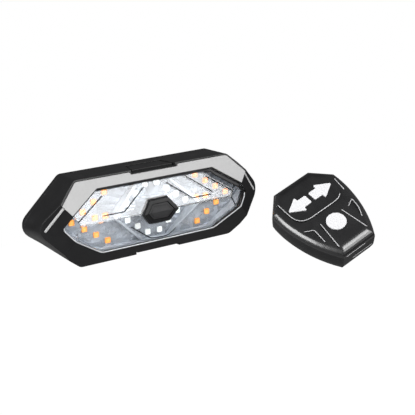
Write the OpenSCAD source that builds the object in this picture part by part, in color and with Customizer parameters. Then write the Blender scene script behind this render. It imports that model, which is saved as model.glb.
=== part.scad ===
// Bicycle rear turn signal light and its wireless handlebar remote.
// Origin: middle of the seat post that the lamp straps to. +Z up, lamp faces -Y, lengths in mm.

/* [Lamp body] */
// Length of the front outline between its tips, before they are rounded
lamp_l = 113.2; // [111:0.2:128]
// Length of the back outline between its tips, before they are rounded
back_l = 120; // [113:0.2:136]
// Height of the lamp
lamp_h = 39.2; // [38.4:0.2:45]
// Length of the flat top edge
top_l = 75.8; // [72:0.2:80]
// Length of the flat bottom edge
bottom_l = 76.6; // [74:0.2:80]
// Depth from the front ridge to the back face
lamp_d = 29.5; // [28.5:0.5:40]
// Length of each hip past the front ridge, up to the tips of the front outline
hip_l = 19.4; // [18:0.1:20.6]
// Lean of the upper and lower front faces, in degrees
front_rake = 24; // [20:0.5:25]
// Lean of the two end faces, in degrees
end_rake = 29.2; // [26:0.2:32]
// Wall thickness of the front housing
wall = 2.4; // [2:0.1:2.8]
// How far the top wall draws down towards the back
top_draft = 1.1; // [0:0.1:1.4]
// How far the tips drop towards the back
tip_drop = 2.8; // [0:0.1:4]
// Radius of the outline's upper and lower corners
corner_r = 3.2; // [1.5:0.1:4]
// Radius of the two tips
tip_r = 6.5; // [3:0.1:8]
// Depth of the back cover at its edge
cover_d = 5; // [4:0.25:6]
// Floor thickness of the back cover
cover_t = 3; // [2.5:0.1:3.4]
// Chamfer round the back edge
back_chamfer = 2.2; // [1:0.1:2.6]
// Depth of the cover's lip inside the housing
lip_d = 2; // [1.5:0.1:3]
// Thickness of that lip
lip_t = 1.6; // [1.2:0.1:2]
// Clearance round that lip
lip_gap = 0.2; // [0.1:0.05:0.3]
// Width of the cover's seal
cover_seal_w = 1.1; // [0.8:0.1:1.2]
// Thickness of the cover's seal
cover_seal_t = 0.9; // [0.6:0.1:1.2]
// Distance of the cover's seal from the outer face
cover_seal_in = 0.7; // [0.5:0.1:0.8]

/* [Lamp front] */
// Width of the bezel above and below the lens opening
bezel_w = 5.1; // [4.9:0.1:6.2]
// Length of the opening's top edge
open_top_l = 57.2; // [50:0.2:60]
// Distance of the opening's shoulders in from its tips
shoulder_in = 4.6; // [3.4:0.1:6]
// Height of the shoulders above the middle
shoulder_z = 5.8; // [5:0.1:7]
// Width of the bezel past the opening's tips, up to the tips of the front outline
bezel_tip_w = 10.4; // [9.4:0.1:12]
// Radius of the opening's corners
open_r = 1.4; // [0.6:0.1:2]
// Depth of the lens below the front ridge
lens_recess = 4; // [3.4:0.1:4.4]
// Lean of the lens faces, in degrees
lens_rake = 20; // [16:0.5:22]
// Thickness of the lens
lens_t = 1.8; // [1.4:0.1:2.2]
// Rim of the lens behind the bezel
lens_flange = 1.2; // [0.8:0.1:1.4]
// Thickness of the lens seal
seal_t = 0.8; // [0.6:0.1:1.2]
// Black lip between the trim and the opening
trim_lip = 0.5; // [0.3:0.1:0.8]
// Black lip between the trim and the outer edge
trim_edge = 0.8; // [0.5:0.1:1.2]
// Depth of the seat of the trim
trim_seat = 0.8; // [0.6:0.1:1]
// How far the trim stands proud
trim_proud = 0.2; // [0.1:0.05:0.4]
// Clearance round the trim
trim_gap = 0.12; // [0.05:0.01:0.2]
// Width of the notch in the top edge, at the front
notch_w = 25.6; // [20:0.2:30]
// Depth of the notch
notch_d = 1.4; // [0.8:0.1:1.6]
// Taper of the notch on each side
notch_taper = 4; // [2:0.5:6]
// Reach of the notch behind the front ridge
notch_l = 19.5; // [14:0.5:22]

/* [Lamp lights] */
// Side of an LED
led_w = 2.6; // [2:0.1:2.8]
// Height of an LED on the board
led_t = 0.9; // [0.6:0.1:1.2]
// Thickness of the LED board
board_t = 1.2; // [1:0.1:1.6]
// Depth of the light partition at its lowest
frame_foot = 1.2; // [1:0.1:2]
// Wall of the light partition
partition_t = 0.9; // [0.7:0.1:1.2]
// Half length of the white field
field_x = 20.2; // [19.6:0.1:20.4]
// Half length of the white field at its top
field_top_x = 5.2; // [4.8:0.1:6]
// Place of the LED at the tip of an arrow
arrow_tip_x = 38.9; // [38:0.1:40]
// Step of the arrow's LEDs along the length
arrow_step_x = 5.33; // [5:0.01:5.4]
// Step of the arrow's LEDs up and down
arrow_step_z = 3.63; // [3.4:0.01:3.7]
// LEDs in each arm of an arrow, past the tip
arrow_n = 3; // [2:1:3]
// Place of the outer LED in an arrow's shaft
shaft_x = 28.1; // [28:0.1:28.4]
// Step of the LEDs in the arrow's shaft
shaft_step = 5; // [4.6:0.1:5]
// LEDs in each arrow's shaft
shaft_n = 2; // [1:1:2]
// Place of the white LED at the side of the button
ring_x = 17.4; // [16.8:0.1:17.6]
// Step of the white LEDs along the length
ring_step_x = 4.8; // [4.6:0.05:4.9]
// Step of the white LEDs up and down
ring_step_z = 3.67; // [3.5:0.01:3.7]
// White LEDs in each arm of the ring, past the side
ring_n = 3; // [2:1:3]

/* [Mode button] */
// Length of the hexagonal collar from tip to tip
collar_l = 17.3; // [16:0.1:18]
// Length of the collar's top edge
collar_top_l = 9.1; // [8:0.1:10]
// Height of the collar
collar_h = 10.6; // [10:0.1:11.4]
// Depth of the collar's face below the front ridge
collar_recess = 2.8; // [2.4:0.1:3]
// Lean of the collar's face, in degrees
collar_rake = 16; // [10:1:18]
// Wall of the collar
collar_wall = 1.5; // [1.2:0.1:1.8]
// Clearance between the collar and the lens
collar_gap = 0.1; // [0.05:0.05:0.2]
// Depth of the button below the collar's rim
button_recess = 0.3; // [0.1:0.1:0.5]
// Clearance round the button
button_gap = 0.25; // [0.15:0.05:0.35]
// Depth of the button cap
button_d = 4.2; // [3:0.1:4.6]
// Travel of the mode button
button_travel = 0.8; // [0.4:0.1:1]
// Diameter of the button's stem
stem_dia = 3.2; // [2.4:0.1:3.6]
// Side of the switch under the button
switch_w = 4.5; // [4:0.1:5]
// Height of the switch body
switch_t = 2; // [1.6:0.1:2.4]
// Height of the switch's plunger
plunger_t = 0.5; // [0.3:0.1:0.7]

/* [Lamp power] */
// Length of the battery
battery_l = 46; // [36:1:50]
// Height of the battery
battery_h = 24; // [18:0.5:25]
// Thickness of the battery
battery_t = 7.6; // [5:0.2:8]
// Height of the ribs that hold the battery
rib_h = 4; // [2:0.5:6]
// Thickness of those ribs
rib_t = 1.4; // [1:0.1:2]
// Place of the charging socket along the lamp
usb_x = 29.5; // [28:0.5:29.5]
// Width of the charging socket
usb_w = 9; // [8.6:0.1:9.4]
// Thickness of the charging socket
usb_t = 3.2; // [2.8:0.1:3.4]
// Length of the charging socket
usb_l = 7.4; // [6.5:0.1:9]
// Wall of the charging socket
usb_wall = 0.4; // [0.3:0.05:0.5]
// Closed end of the charging socket
usb_end = 1.8; // [1:0.1:2.4]
// Thickness of the port flap
flap_t = 1.2; // [1:0.1:1.4]
// Width of the port flap
flap_w = 6.4; // [5.8:0.1:7]
// Rim of the flap past the socket
flap_rim = 2; // [1.6:0.1:2.6]
// Clearance round the flap
flap_gap = 0.3; // [0.2:0.05:0.4]

/* [Fasteners] */
// Place of the cover screws along the lamp
screw_x = 37; // [36.6:0.1:38]
// Height of the cover screws above the middle
screw_z = 14; // [13.6:0.1:14.2]
// Diameter of a screw's shank
screw_dia = 2; // [1.6:0.1:2.2]
// Diameter of a screw's head
head_dia = 4; // [3.4:0.1:4.4]
// Height of a screw's head
head_t = 1.5; // [1.2:0.1:1.8]
// Length of a cover screw's shank
screw_l = 9; // [7:0.5:10]
// Wall of a screw boss
boss_wall = 1.5; // [1.2:0.1:1.6]
// Clearance round a screw
screw_gap = 0.1; // [0.05:0.05:0.2]
// Skin left under a blind screw hole
blind_t = 0.5; // [0.4:0.1:0.6]

/* [Seat post bracket] */
// Diameter of the seat post
post_dia = 27.2; // [25.4:0.2:31.6]
// Share of the post that the saddle wraps, in degrees
post_wrap = 128; // [116:2:136]
// Height of the bracket
bracket_h = 26; // [25:0.5:28]
// Length of the bracket's plate
bracket_l = 50; // [48:0.5:56]
// Thickness of the bracket's plate
bracket_t = 3; // [2.5:0.1:4]
// Thickness of the rubber pad
pad_t = 1.5; // [1:0.1:2.2]
// Shoulder of the saddle past the pad
saddle_rim = 0.6; // [0.4:0.1:1.2]
// Length of a strap hook
hook_h = 12; // [8:0.5:13]
// Thickness of a strap hook
hook_t = 2.2; // [1.8:0.1:2.6]
// Reach of a strap hook behind the plate
hook_reach = 6; // [5:0.1:7]

/* [Remote body] */
// Length of the remote's face
remote_l = 39.4; // [38.8:0.2:45]
// Width of the remote's face at the shoulders
remote_w = 33.6; // [33.2:0.2:39]
// Width of the remote's face at its flank
flank_w = 30.2; // [29.6:0.2:31]
// Width of the remote's top edge
remote_top_w = 18.9; // [17:0.1:22]
// Width of the remote's bottom edge
remote_end_w = 16.3; // [15.8:0.1:17.6]
// Distance of the shoulders below the top edge
shoulder_drop = 7.7; // [6:0.1:8.4]
// Distance of the flank below the top edge
flank_drop = 24.9; // [24:0.1:26]
// How far the body swells past its face
swell_w = 1.5; // [1.2:0.1:2]
// How far the body stands past the lower end of its face
remote_reach = 2; // [1:0.1:2.6]
// Depth of the top shell
top_shell_d = 3.5; // [3.2:0.1:3.8]
// Depth of the bottom shell
bottom_shell_d = 7.5; // [7.3:0.1:9]
// Wall over the keys
top_shell_t = 1.6; // [1.4:0.1:1.8]
// Side wall of the remote
remote_wall = 1.6; // [1.2:0.1:2]
// Depth of the strap base
base_d = 1.2; // [1:0.1:2.4]
// How far the strap base stands past the outline of the face
base_out = 0.4; // [0:0.1:0.7]
// Depth of the steps on the remote's face
face_step = 0.5; // [0.3:0.1:0.7]
// Width of the plateau round the arrow keys
plateau_w = 26.6; // [26.2:0.1:27.4]
// Radius of the plateau's lower corners
plateau_r = 5; // [2:0.5:6]
// Distance of the plateau's lower edge below the top edge
plateau_drop = 19.7; // [19.2:0.1:20.4]
// Width of the raised panel at its top
panel_top_w = 12.2; // [11:0.1:13]
// Distance of the raised panel below the top edge
panel_drop = 25.2; // [24:0.1:25.6]
// Outer corner of the three-sided hollow, out from the middle of the face
facet_out_x = 13.9; // [13:0.1:15]
// Distance of that corner below the top edge
facet_out_drop = 23.2; // [22.6:0.1:24]
// Inner corner of that hollow, out from the middle of the face
facet_in_x = 10; // [9.4:0.1:11]
// Distance of that corner below the top edge
facet_in_drop = 25.3; // [24.6:0.1:26]
// Lower corner of that hollow, out from the middle of the face
facet_low_x = 10.7; // [10:0.1:11.4]
// Distance of that corner below the top edge
facet_low_drop = 33; // [32:0.1:34]
// Place of the upper screws, out from the middle
remote_screw_x = 8.5; // [8:0.1:9]
// Distance of the upper screws below the top edge
remote_screw_drop = 3.4; // [3:0.1:4]
// Place of the lower screws, out from the middle
low_screw_x = 6.2; // [6:0.1:6.4]
// Distance of the lower screws above the bottom edge
low_screw_rise = 4.5; // [4:0.1:4.8]

/* [Remote keys] */
// Length of an arrow key
arrow_l = 11.6; // [10.4:0.1:12]
// Length of an arrow key's head
arrow_head_l = 7.2; // [6:0.1:7.4]
// Width of an arrow key's head
arrow_head_w = 8.8; // [8:0.1:9.2]
// Width of an arrow key's shaft
arrow_shaft_w = 4.6; // [4:0.1:5.2]
// Radius of an arrow key's corners
arrow_r = 0.5; // [0.3:0.05:0.6]
// Gap between an arrow key and the middle
arrow_mid_gap = 1; // [0.9:0.1:1.6]
// Distance of the arrow keys below the top edge
arrow_drop = 11.3; // [10.6:0.1:12]
// Diameter of the round key
key_dia = 8.8; // [8:0.1:9.2]
// Distance of the round key below the top edge
key_drop = 28.2; // [27.6:0.1:28.8]
// How far the keys stand proud
key_proud = 0.3; // [0.1:0.05:0.5]
// Clearance round a key
key_gap = 0.15; // [0.1:0.05:0.2]
// Flange that keeps a key in
key_flange = 0.6; // [0.4:0.05:0.7]
// Thickness of that flange
key_flange_t = 0.6; // [0.5:0.05:0.7]
// Travel of a key
key_travel = 0.5; // [0.3:0.05:0.5]
// Thickness of the key membrane
membrane_t = 0.7; // [0.5:0.05:0.9]
// Clearance under a pressed key
press_gap = 0.1; // [0.1:0.05:0.2]

/* [Remote power] */
// Thickness of the remote's board
remote_board_t = 1; // [0.8:0.1:1.2]
// Height of the remote's switches
remote_switch_t = 1.2; // [0.8:0.1:1.3]
// Side of the remote's switches
remote_switch_w = 3; // [2.4:0.1:3.4]
// Diameter of the coin cell
cell_dia = 20; // [16:0.5:21]
// Thickness of the coin cell
cell_t = 3.2; // [1.6:0.1:3.2]
// Thickness of the cell's contact clip
clip_t = 0.3; // [0.2:0.05:0.3]
// Length of the clip
clip_l = 16; // [12:0.5:18]
// Width of the clip
clip_w = 6.6; // [5.4:0.2:8]
// Width of the clip's bars
clip_bar = 2.2; // [1.4:0.1:2.4]
// Clearance round the cell and the boards
fit_gap = 0.3; // [0.2:0.05:0.4]
// Diameter of the indicator light in the remote's end
pilot_dia = 1.4; // [1:0.1:1.8]
// Place of the indicator light, out from the middle
pilot_x = 5; // [0:0.1:6]
// Depth of the indicator light below the parting line
pilot_drop = 3.2; // [2.4:0.1:4]
// Length of the indicator light
pilot_l = 2.8; // [2:0.1:3.2]

/* [Handlebar saddle] */
// Diameter of the handlebar
bar_dia = 22.2; // [22:0.2:25.4]
// Share of the bar that the pad wraps, in degrees
bar_wrap = 116; // [112:2:120]
// Length of the pad along the bar
bar_pad_l = 16; // [12:0.5:18]
// Thickness of the pad at its thinnest
bar_pad_t = 1.2; // [1:0.1:2]

/* [Remote placing] */
// Distance of the remote's middle past the end of the lamp
remote_aside = 0.9; // [0:0.1:40]
// Distance of the remote's face in front of the lamp's ridge
remote_ahead = 38.5; // [34:0.5:80]
// Height of the remote's face over the lamp's middle
remote_up = 0; // [-10:0.5:30]
// Tip of the remote towards the viewer, in degrees
remote_pitch = 29.2; // [20:0.1:34]
// Lean of the remote to its left, in degrees
remote_roll = -21.8; // [-26:0.1:0]
// Turn of the remote, in degrees
remote_yaw = -0.5; // [-6:0.1:16]

/* [Hidden] */
$fn = 48;

// Lengths that reach past everything, and a cut's overrun
far = 2 * lamp_l;
over = 1;
// Facets of a saddle, and the least radius of an inset corner as a share of the outer one
saddle_fn = 96;
least_r = 1 / 3;
// How far a boss is rooted in the front wall
boss_root = 0.8;

// Lamp: halves of the driving lengths
half_l = lamp_l / 2;
half_h = lamp_h / 2;
half_ridge = half_l - hip_l;
open_h = lamp_h - 2 * bezel_w;
open_tip_l = lamp_l - 2 * bezel_tip_w;
shoulder_x = open_tip_l / 2 - shoulder_in;
split_y = lamp_d - cover_d;
lip_y = split_y - lip_d;
top_edge_y = half_h * tan(front_rake);
lens_half_h = open_h / 2 + lens_flange;
lens_half_l = open_tip_l / 2 + lens_flange;
lens_rise = max(lens_half_h * tan(lens_rake), (lens_half_l - half_ridge) * tan(end_rake));
board_y = lens_recess + lens_t + seal_t + lens_rise + frame_foot;
board_back = board_y + board_t;
cover_floor_y = lamp_d - cover_t;
usb_y = board_back + usb_t / 2;
usb_mouth_z = -half_h + wall + flap_gap;
flap_axis_x = usb_x - usb_w / 2 - flap_rim;
flap_axis_z = -half_h + flap_t / 2;
flap_end_x = usb_x + usb_w / 2 + flap_rim;
button_face = collar_recess + button_recess;
switch_face = board_y - switch_t;
stem_end = switch_face - plunger_t - button_travel - press_gap;
boss_dia = screw_dia + 2 * boss_wall;
hole_dia = screw_dia + 2 * screw_gap;
sink_dia = head_dia + 2 * screw_gap;
post_r = post_dia / 2;
post_y = lamp_d + bracket_t + saddle_rim + pad_t + post_r;
saddle_r = post_r + pad_t;
saddle_end_y = post_y - post_r * cos(post_wrap / 2);
saddle_half = sqrt(pow(saddle_r, 2) - pow(post_r * cos(post_wrap / 2), 2)) + saddle_rim;
bracket_screw_x = bracket_l / 2 - head_dia / 2 - saddle_rim;
bracket_screw_z = bracket_h / 2 - head_dia / 2 - saddle_rim;
bracket_screw_l = bracket_t + cover_t - 2 * blind_t - head_t;

// Right half of the outline where the front faces end, and at the back
front_half = [[top_l / 2, half_h], [half_l, 0], [bottom_l / 2, -half_h]];
back_half = [[top_l / 2, half_h - top_draft], [back_l / 2, -tip_drop], [bottom_l / 2, -half_h]];
opening = [
    [open_top_l / 2, open_h / 2], [shoulder_x, shoulder_z], [open_tip_l / 2, 0],
    [shoulder_x, -shoulder_z], [open_top_l / 2, -open_h / 2],
    [-open_top_l / 2, -open_h / 2], [-shoulder_x, -shoulder_z], [-open_tip_l / 2, 0],
    [-shoulder_x, shoulder_z], [-open_top_l / 2, open_h / 2]
];
collar = [
    [collar_top_l / 2, collar_h / 2], [collar_l / 2, 0], [collar_top_l / 2, -collar_h / 2],
    [-collar_top_l / 2, -collar_h / 2], [-collar_l / 2, 0], [-collar_top_l / 2, collar_h / 2]
];

// Remote: heights below its face, and the face's own outline
face_top = remote_l / 2;
face_end = -remote_l / 2;
membrane_z = -top_shell_t - press_gap - key_flange_t - key_travel - press_gap;
remote_board_z = membrane_z - membrane_t - remote_switch_t;
cell_z = remote_board_z - remote_board_t - clip_t;
remote_floor_z = -top_shell_d - bottom_shell_d;
base_z = remote_floor_z - base_d;
pilot_y = face_end - remote_reach - swell_w + screw_gap;
pilot_z = -top_shell_d - pilot_drop;
remote_screw_l = bottom_shell_d - head_t + top_shell_d - top_shell_t - face_step;
bar_r = bar_dia / 2;
bar_z = base_z - bar_pad_t - bar_r;
pad_end_z = bar_z + bar_r * cos(bar_wrap / 2);
pad_half = bar_r * sin(bar_wrap / 2) + bar_pad_t;
arrow_y = face_top - arrow_drop;
key_y = face_top - key_drop;
flank_steps = 12;
flank = arc_through([remote_w / 2, face_top - shoulder_drop], [flank_w / 2, face_top - flank_drop],
    [remote_end_w / 2, face_end], flank_steps);
shield = concat([[remote_top_w / 2, face_top]], flank, mirrored(flank), [[-remote_top_w / 2, face_top]]);
remote_at = [half_l + remote_aside, -remote_ahead - post_y, remote_up];
remote_turn = [remote_pitch, remote_roll, remote_yaw];

// Layers of the remote's shells: share of the depth, of the full swell, and of the reach of the end
fillet_steps = 6;
fillet_in = 0.5;
top_layers = [for (k = [0:fillet_steps]) let (t = 90 * k / fillet_steps)
    [1 - cos(t), (1 + fillet_in) * sin(t) - fillet_in, sin(t)]];
bottom_layers = [[0, 1, 1], [0.45, 0.96, 1], [0.8, 0.85, 1], [1, 0.55, 1]];
layer_t = 0.02;

// Points of an outline

function unit(v) = v / norm(v);
function mirrored(pts) = [for (i = [len(pts) - 1:-1:0]) [-pts[i].x, pts[i].y]];

// Arc that rounds the corner p between its neighbours a and b
function corner_arc(a, p, b, r, n) =
    let (da = unit(a - p), db = unit(b - p), half = acos(da * db) / 2)
    let (c = p + unit(da + db) * r / sin(half))
    let (s = p + da * r / tan(half) - c, e = p + db * r / tan(half) - c)
    let (from = atan2(s.y, s.x), turn = (atan2(e.y, e.x) - from + 540) % 360 - 180)
    [for (k = [0:n]) c + r * [cos(from + turn * k / n), sin(from + turn * k / n)]];

// Outline with its corners rounded, by one radius or by one for each corner
function rounded(pts, r, n = 5) =
    let (m = len(pts))
    [for (i = [0:m - 1])
        each corner_arc(pts[(i + m - 1) % m], pts[i], pts[(i + 1) % m], is_list(r) ? r[i] : r, n)];

// Outline moved outwards by g, with its corners kept sharp
function grown(pts, g) =
    let (m = len(pts))
    [for (i = [0:m - 1])
        let (da = unit(pts[(i + m - 1) % m] - pts[i]), db = unit(pts[(i + 1) % m] - pts[i]))
        let (inner = norm(da + db) > 0.001 ? unit(da + db) : [-db.y, db.x])
        pts[i] - inner * g / max(sin(acos(max(-1, min(1, da * db))) / 2), 0.001)];

// Arc through three points, from the first to the last
function arc_through(p, q, r, n) =
    let (d = 2 * (p.x * (q.y - r.y) + q.x * (r.y - p.y) + r.x * (p.y - q.y)))
    let (cx = ((p * p) * (q.y - r.y) + (q * q) * (r.y - p.y) + (r * r) * (p.y - q.y)) / d)
    let (cy = ((p * p) * (r.x - q.x) + (q * q) * (p.x - r.x) + (r * r) * (q.x - p.x)) / d)
    let (from = atan2(p.y - cy, p.x - cx), to = atan2(r.y - cy, r.x - cx), size = norm(p - [cx, cy]))
    [for (k = [0:n]) [cx, cy] + size * [cos(from + (to - from) * k / n), sin(from + (to - from) * k / n)]];

// Lamp's six-sided outline at one depth, moved outwards by g
function lamp_section(y) =
    let (share = (y - top_edge_y) / (lamp_d - top_edge_y), half = front_half + (back_half - front_half) * share)
    concat(half, mirrored(half));
function lamp_outline(y, g) =
    let (radii = [corner_r, tip_r, corner_r, corner_r, tip_r, corner_r])
    rounded(grown(lamp_section(y), g), [for (r = radii) max(r + g, r * least_r)], 6);
function lens_outline(g) = rounded(grown(opening, g), max(open_r + g, open_r * least_r), 4);

// Extrusions of an outline across, along and up the lamp

module across(y0, y1) translate([0, y1, 0]) rotate([90, 0, 0]) linear_extrude(y1 - y0) children();
module along(half) translate([-half, 0, 0]) rotate([90, 0, 90]) linear_extrude(2 * half) children();
module upright(half) translate([0, 0, -half]) linear_extrude(2 * half) children();

// Space behind a front that slopes back from its ridge, up and down, and past each hip
module behind_front(start, rake) {
    run = far / 2;
    intersection() {
        along(run) polygon([
            [start, 0], [start + run * tan(rake), run], [far, run],
            [far, -run], [start + run * tan(rake), -run]
        ]);
        upright(run) polygon([
            [-half_ridge, start], [half_ridge, start],
            [half_ridge + run, start + run * tan(end_rake)], [half_ridge + run, far],
            [-half_ridge - run, far], [-half_ridge - run, start + run * tan(end_rake)]
        ]);
    }
}

// Body ruled between slices of the lamp's outline, each with its depth and its growth
module ruled(slices) hull() for (s = slices)
    across(s[0] - layer_t, s[0]) polygon(lamp_outline(s[0], s[1]));

// Lamp's own frame: its front ridge at y = 0
module lamp() translate([0, -post_y, 0]) children();

module at_screws() for (x = [-screw_x, screw_x], z = [-screw_z, screw_z]) translate([x, 0, z]) children();
module at_bracket_screws()
    for (x = [-bracket_screw_x, bracket_screw_x], z = [-bracket_screw_z, bracket_screw_z])
        translate([x, 0, z]) children();

// Rod along the depth of the lamp
module rod(y0, y1, dia) translate([0, y1, 0]) rotate([90, 0, 0]) cylinder(h = y1 - y0, d = dia);

// Lamp pieces

module trim_shape(gap) difference() {
    intersection() {
        polygon(lamp_outline(top_edge_y, -trim_edge + gap));
        polygon([
            [-half_ridge - gap, 0], [half_ridge + gap, 0],
            [half_ridge + gap + half_h * tan(front_rake) / tan(end_rake), half_h],
            [-half_ridge - gap - half_h * tan(front_rake) / tan(end_rake), half_h]
        ]);
    }
    polygon(lens_outline(trim_lip - gap));
    polygon([
        [-notch_w / 2 + gap, half_h], [notch_w / 2 - gap, half_h],
        [notch_w / 2 - notch_d - gap, half_h - notch_d - trim_edge / 2 + gap],
        [-notch_w / 2 + notch_d + gap, half_h - notch_d - trim_edge / 2 + gap]
    ]);
}

// Notch in the top and bottom walls, open at the front
module edge_notch() for (up = [1, -1]) translate([0, 0, up * half_h - notch_d])
    linear_extrude(2 * notch_d) polygon([
        [-notch_w / 2, 0], [notch_w / 2, 0],
        [notch_w / 2 - notch_taper, notch_l], [-notch_w / 2 + notch_taper, notch_l]
    ]);

module screw_bosses() {
    start = lens_recess + screw_z * tan(lens_rake) - boss_root;
    at_screws() rod(start, split_y, boss_dia);
}

// Mouth of the charging port, with the seat of its flap
module port_cut() {
    translate([flap_axis_x - flap_t / 2 - flap_gap, usb_y - flap_w / 2 - flap_gap, -half_h - over])
        cube([flap_end_x - flap_axis_x + flap_t / 2 + 2 * flap_gap, flap_w + 2 * flap_gap,
            over + flap_t + flap_gap / 2]);
    translate([usb_x - usb_w / 2 - flap_gap, usb_y - usb_t / 2 - flap_gap, -half_h - over])
        cube([usb_w + 2 * flap_gap, usb_t + 2 * flap_gap, wall + 2 * over]);
}

module front_housing() color("#1b1b1d") lamp() difference() {
    union() {
        difference() {
            intersection() {
                ruled([[layer_t, 0], [split_y, 0]]);
                behind_front(0, front_rake);
            }
            intersection() {
                ruled([[layer_t, -wall], [split_y + over, -wall]]);
                behind_front(lens_recess, lens_rake);
            }
        }
        screw_bosses();
    }
    across(-over, split_y - over) polygon(lens_outline(0));
    difference() {
        across(-over, split_y - over) trim_shape(trim_gap);
        behind_front(trim_seat, front_rake);
    }
    edge_notch();
    port_cut();
    across(split_y - cover_seal_t, split_y + over) cover_ring(split_y, cover_seal_in, cover_seal_w);
    at_screws() rod(split_y - screw_l, split_y + over, hole_dia);
}

module silver_trim() color("#c5c5c3") lamp() difference() {
    intersection() {
        across(-over, split_y) trim_shape(0);
        behind_front(-trim_proud, front_rake);
    }
    behind_front(trim_seat, front_rake);
}

module lens() color("#dfe6ee", 0.5) lamp() difference() {
    intersection() {
        across(0, board_y) polygon(lens_outline(lens_flange));
        behind_front(lens_recess, lens_rake);
    }
    behind_front(lens_recess + lens_t, lens_rake);
    across(-over, board_y + over) polygon(grown(collar, collar_gap));
}

// Ring that follows the lens rim, from one depth to another
module rim_ring(width) difference() {
    polygon(lens_outline(lens_flange));
    polygon(lens_outline(lens_flange - width));
}

module lens_seal() color("#9da1a6") lamp() difference() {
    intersection() {
        across(0, board_y) rim_ring(lens_flange + partition_t);
        behind_front(lens_recess + lens_t, lens_rake);
    }
    behind_front(lens_recess + lens_t + seal_t, lens_rake);
}

module light_partition() color("#b8bdc2") lamp() intersection() {
    across(0, board_y) {
        rim_ring(lens_flange + partition_t);
        intersection() {
            polygon(lens_outline(0));
            difference() {
                field = [
                    [field_top_x, open_h / 2], [field_x, 0], [field_top_x, -open_h / 2],
                    [-field_top_x, -open_h / 2], [-field_x, 0], [-field_top_x, open_h / 2]
                ];
                polygon(grown(field, partition_t));
                polygon(field);
            }
        }
    }
    behind_front(lens_recess + lens_t + seal_t, lens_rake);
}

module led_board() color("#d8dde0") lamp() across(board_y, board_back) polygon(lens_outline(lens_flange));

module led(x, z) translate([x - led_w / 2, board_y - led_t, z - led_w / 2]) cube([led_w, led_t, led_w]);

// Arrow of LEDs that points to one side, +1 right or -1 left
module amber_arrow(side) {
    for (k = [0:arrow_n], up = k > 0 ? [1, -1] : [1])
        led(side * (arrow_tip_x - k * arrow_step_x), up * k * arrow_step_z);
    for (k = [0:shaft_n - 1])
        led(side * (shaft_x - k * shaft_step), 0);
}

module amber_leds_left() color("#ff9c33") lamp() amber_arrow(-1);
module amber_leds_right() color("#ff9c33") lamp() amber_arrow(1);

module white_leds() color("#f4f6f2") lamp()
    for (side = [1, -1], k = [0:ring_n], up = k > 0 ? [1, -1] : [1])
        led(side * (ring_x - k * ring_step_x), up * k * ring_step_z);

module button_collar() color("#151516") lamp() intersection() {
    across(0, board_y) difference() {
        polygon(collar);
        polygon(grown(collar, -collar_wall));
    }
    behind_front(collar_recess, collar_rake);
}

module mode_button() color("#3f4042") lamp() {
    intersection() {
        across(0, button_face + button_d) polygon(grown(collar, -collar_wall - button_gap));
        behind_front(button_face, collar_rake);
    }
    rod(button_face + button_d - over, stem_end, stem_dia);
}

module mode_switch() color("#5a5c60") lamp() {
    translate([-switch_w / 2, switch_face, -switch_w / 2]) cube([switch_w, switch_t, switch_w]);
    rod(switch_face - plunger_t, switch_face, stem_dia);
}

module battery() color("#3b6ea5") lamp()
    translate([-battery_l / 2, cover_floor_y - battery_t, -battery_h / 2])
        cube([battery_l, battery_t, battery_h]);

module usb_socket() color("#b9bcc0") lamp() difference() {
    translate([usb_x - usb_w / 2, board_back, usb_mouth_z]) cube([usb_w, usb_t, usb_l]);
    translate([usb_x - usb_w / 2 + usb_wall, board_back + usb_wall, usb_mouth_z - over])
        cube([usb_w - 2 * usb_wall, usb_t - 2 * usb_wall, usb_l - usb_end + over]);
}

module port_flap() color("#262628") lamp() {
    translate([flap_axis_x, usb_y + flap_w / 2, flap_axis_z]) rotate([90, 0, 0])
        cylinder(h = flap_w, d = flap_t);
    translate([flap_axis_x, usb_y - flap_w / 2, -half_h])
        cube([flap_end_x - flap_axis_x, flap_w, flap_t]);
    translate([usb_x - usb_w / 2 + flap_gap, usb_y - usb_t / 2 + flap_gap, -half_h + flap_t / 2])
        cube([usb_w - 2 * flap_gap, usb_t - 2 * flap_gap, wall - flap_t / 2]);
}

// Ring that follows the outline at one depth, so far inside it and so wide
module cover_ring(y, inside, width) difference() {
    polygon(lamp_outline(y, -inside));
    polygon(lamp_outline(y, -inside - width));
}

module boss_room() at_screws() rod(0, split_y, boss_dia + 2 * lip_gap);

module back_cover() color("#1b1b1d") lamp() difference() {
    union() {
        difference() {
            ruled([[split_y + layer_t, 0], [lamp_d - back_chamfer, 0], [lamp_d, -back_chamfer]]);
            across(split_y - over, cover_floor_y) polygon(lamp_outline(lip_y, -wall - lip_gap - lip_t));
        }
        difference() {
            across(lip_y, split_y) cover_ring(lip_y, wall + lip_gap, lip_t);
            boss_room();
        }
        at_screws() rod(split_y, cover_floor_y, boss_dia);
        for (x = [-1, 1]) translate([x * (battery_l / 2 + fit_gap + rib_t / 2) - rib_t / 2,
            cover_floor_y - rib_h, -battery_h / 2]) cube([rib_t, rib_h, battery_h]);
    }
    at_screws() {
        rod(split_y - over, lamp_d, hole_dia);
        rod(lamp_d - head_t, lamp_d + over, sink_dia);
    }
    at_bracket_screws() rod(cover_floor_y + blind_t, lamp_d + over, hole_dia);
}

// Seal in the groove of the housing's back rim
module back_seal() color("#3a3a3c") lamp()
    across(split_y - cover_seal_t, split_y) cover_ring(split_y, cover_seal_in, cover_seal_w);

module screw(head_y, length) {
    rod(head_y - head_t, head_y, head_dia);
    rod(head_y - head_t - length, head_y - head_t, screw_dia);
}

module back_screws() color("#8d9095") lamp() at_screws()
    screw(lamp_d, lamp_d - head_t - split_y + screw_l - blind_t);

module bracket_screws() color("#8d9095") lamp() at_bracket_screws()
    screw(lamp_d + bracket_t, bracket_screw_l);

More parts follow.
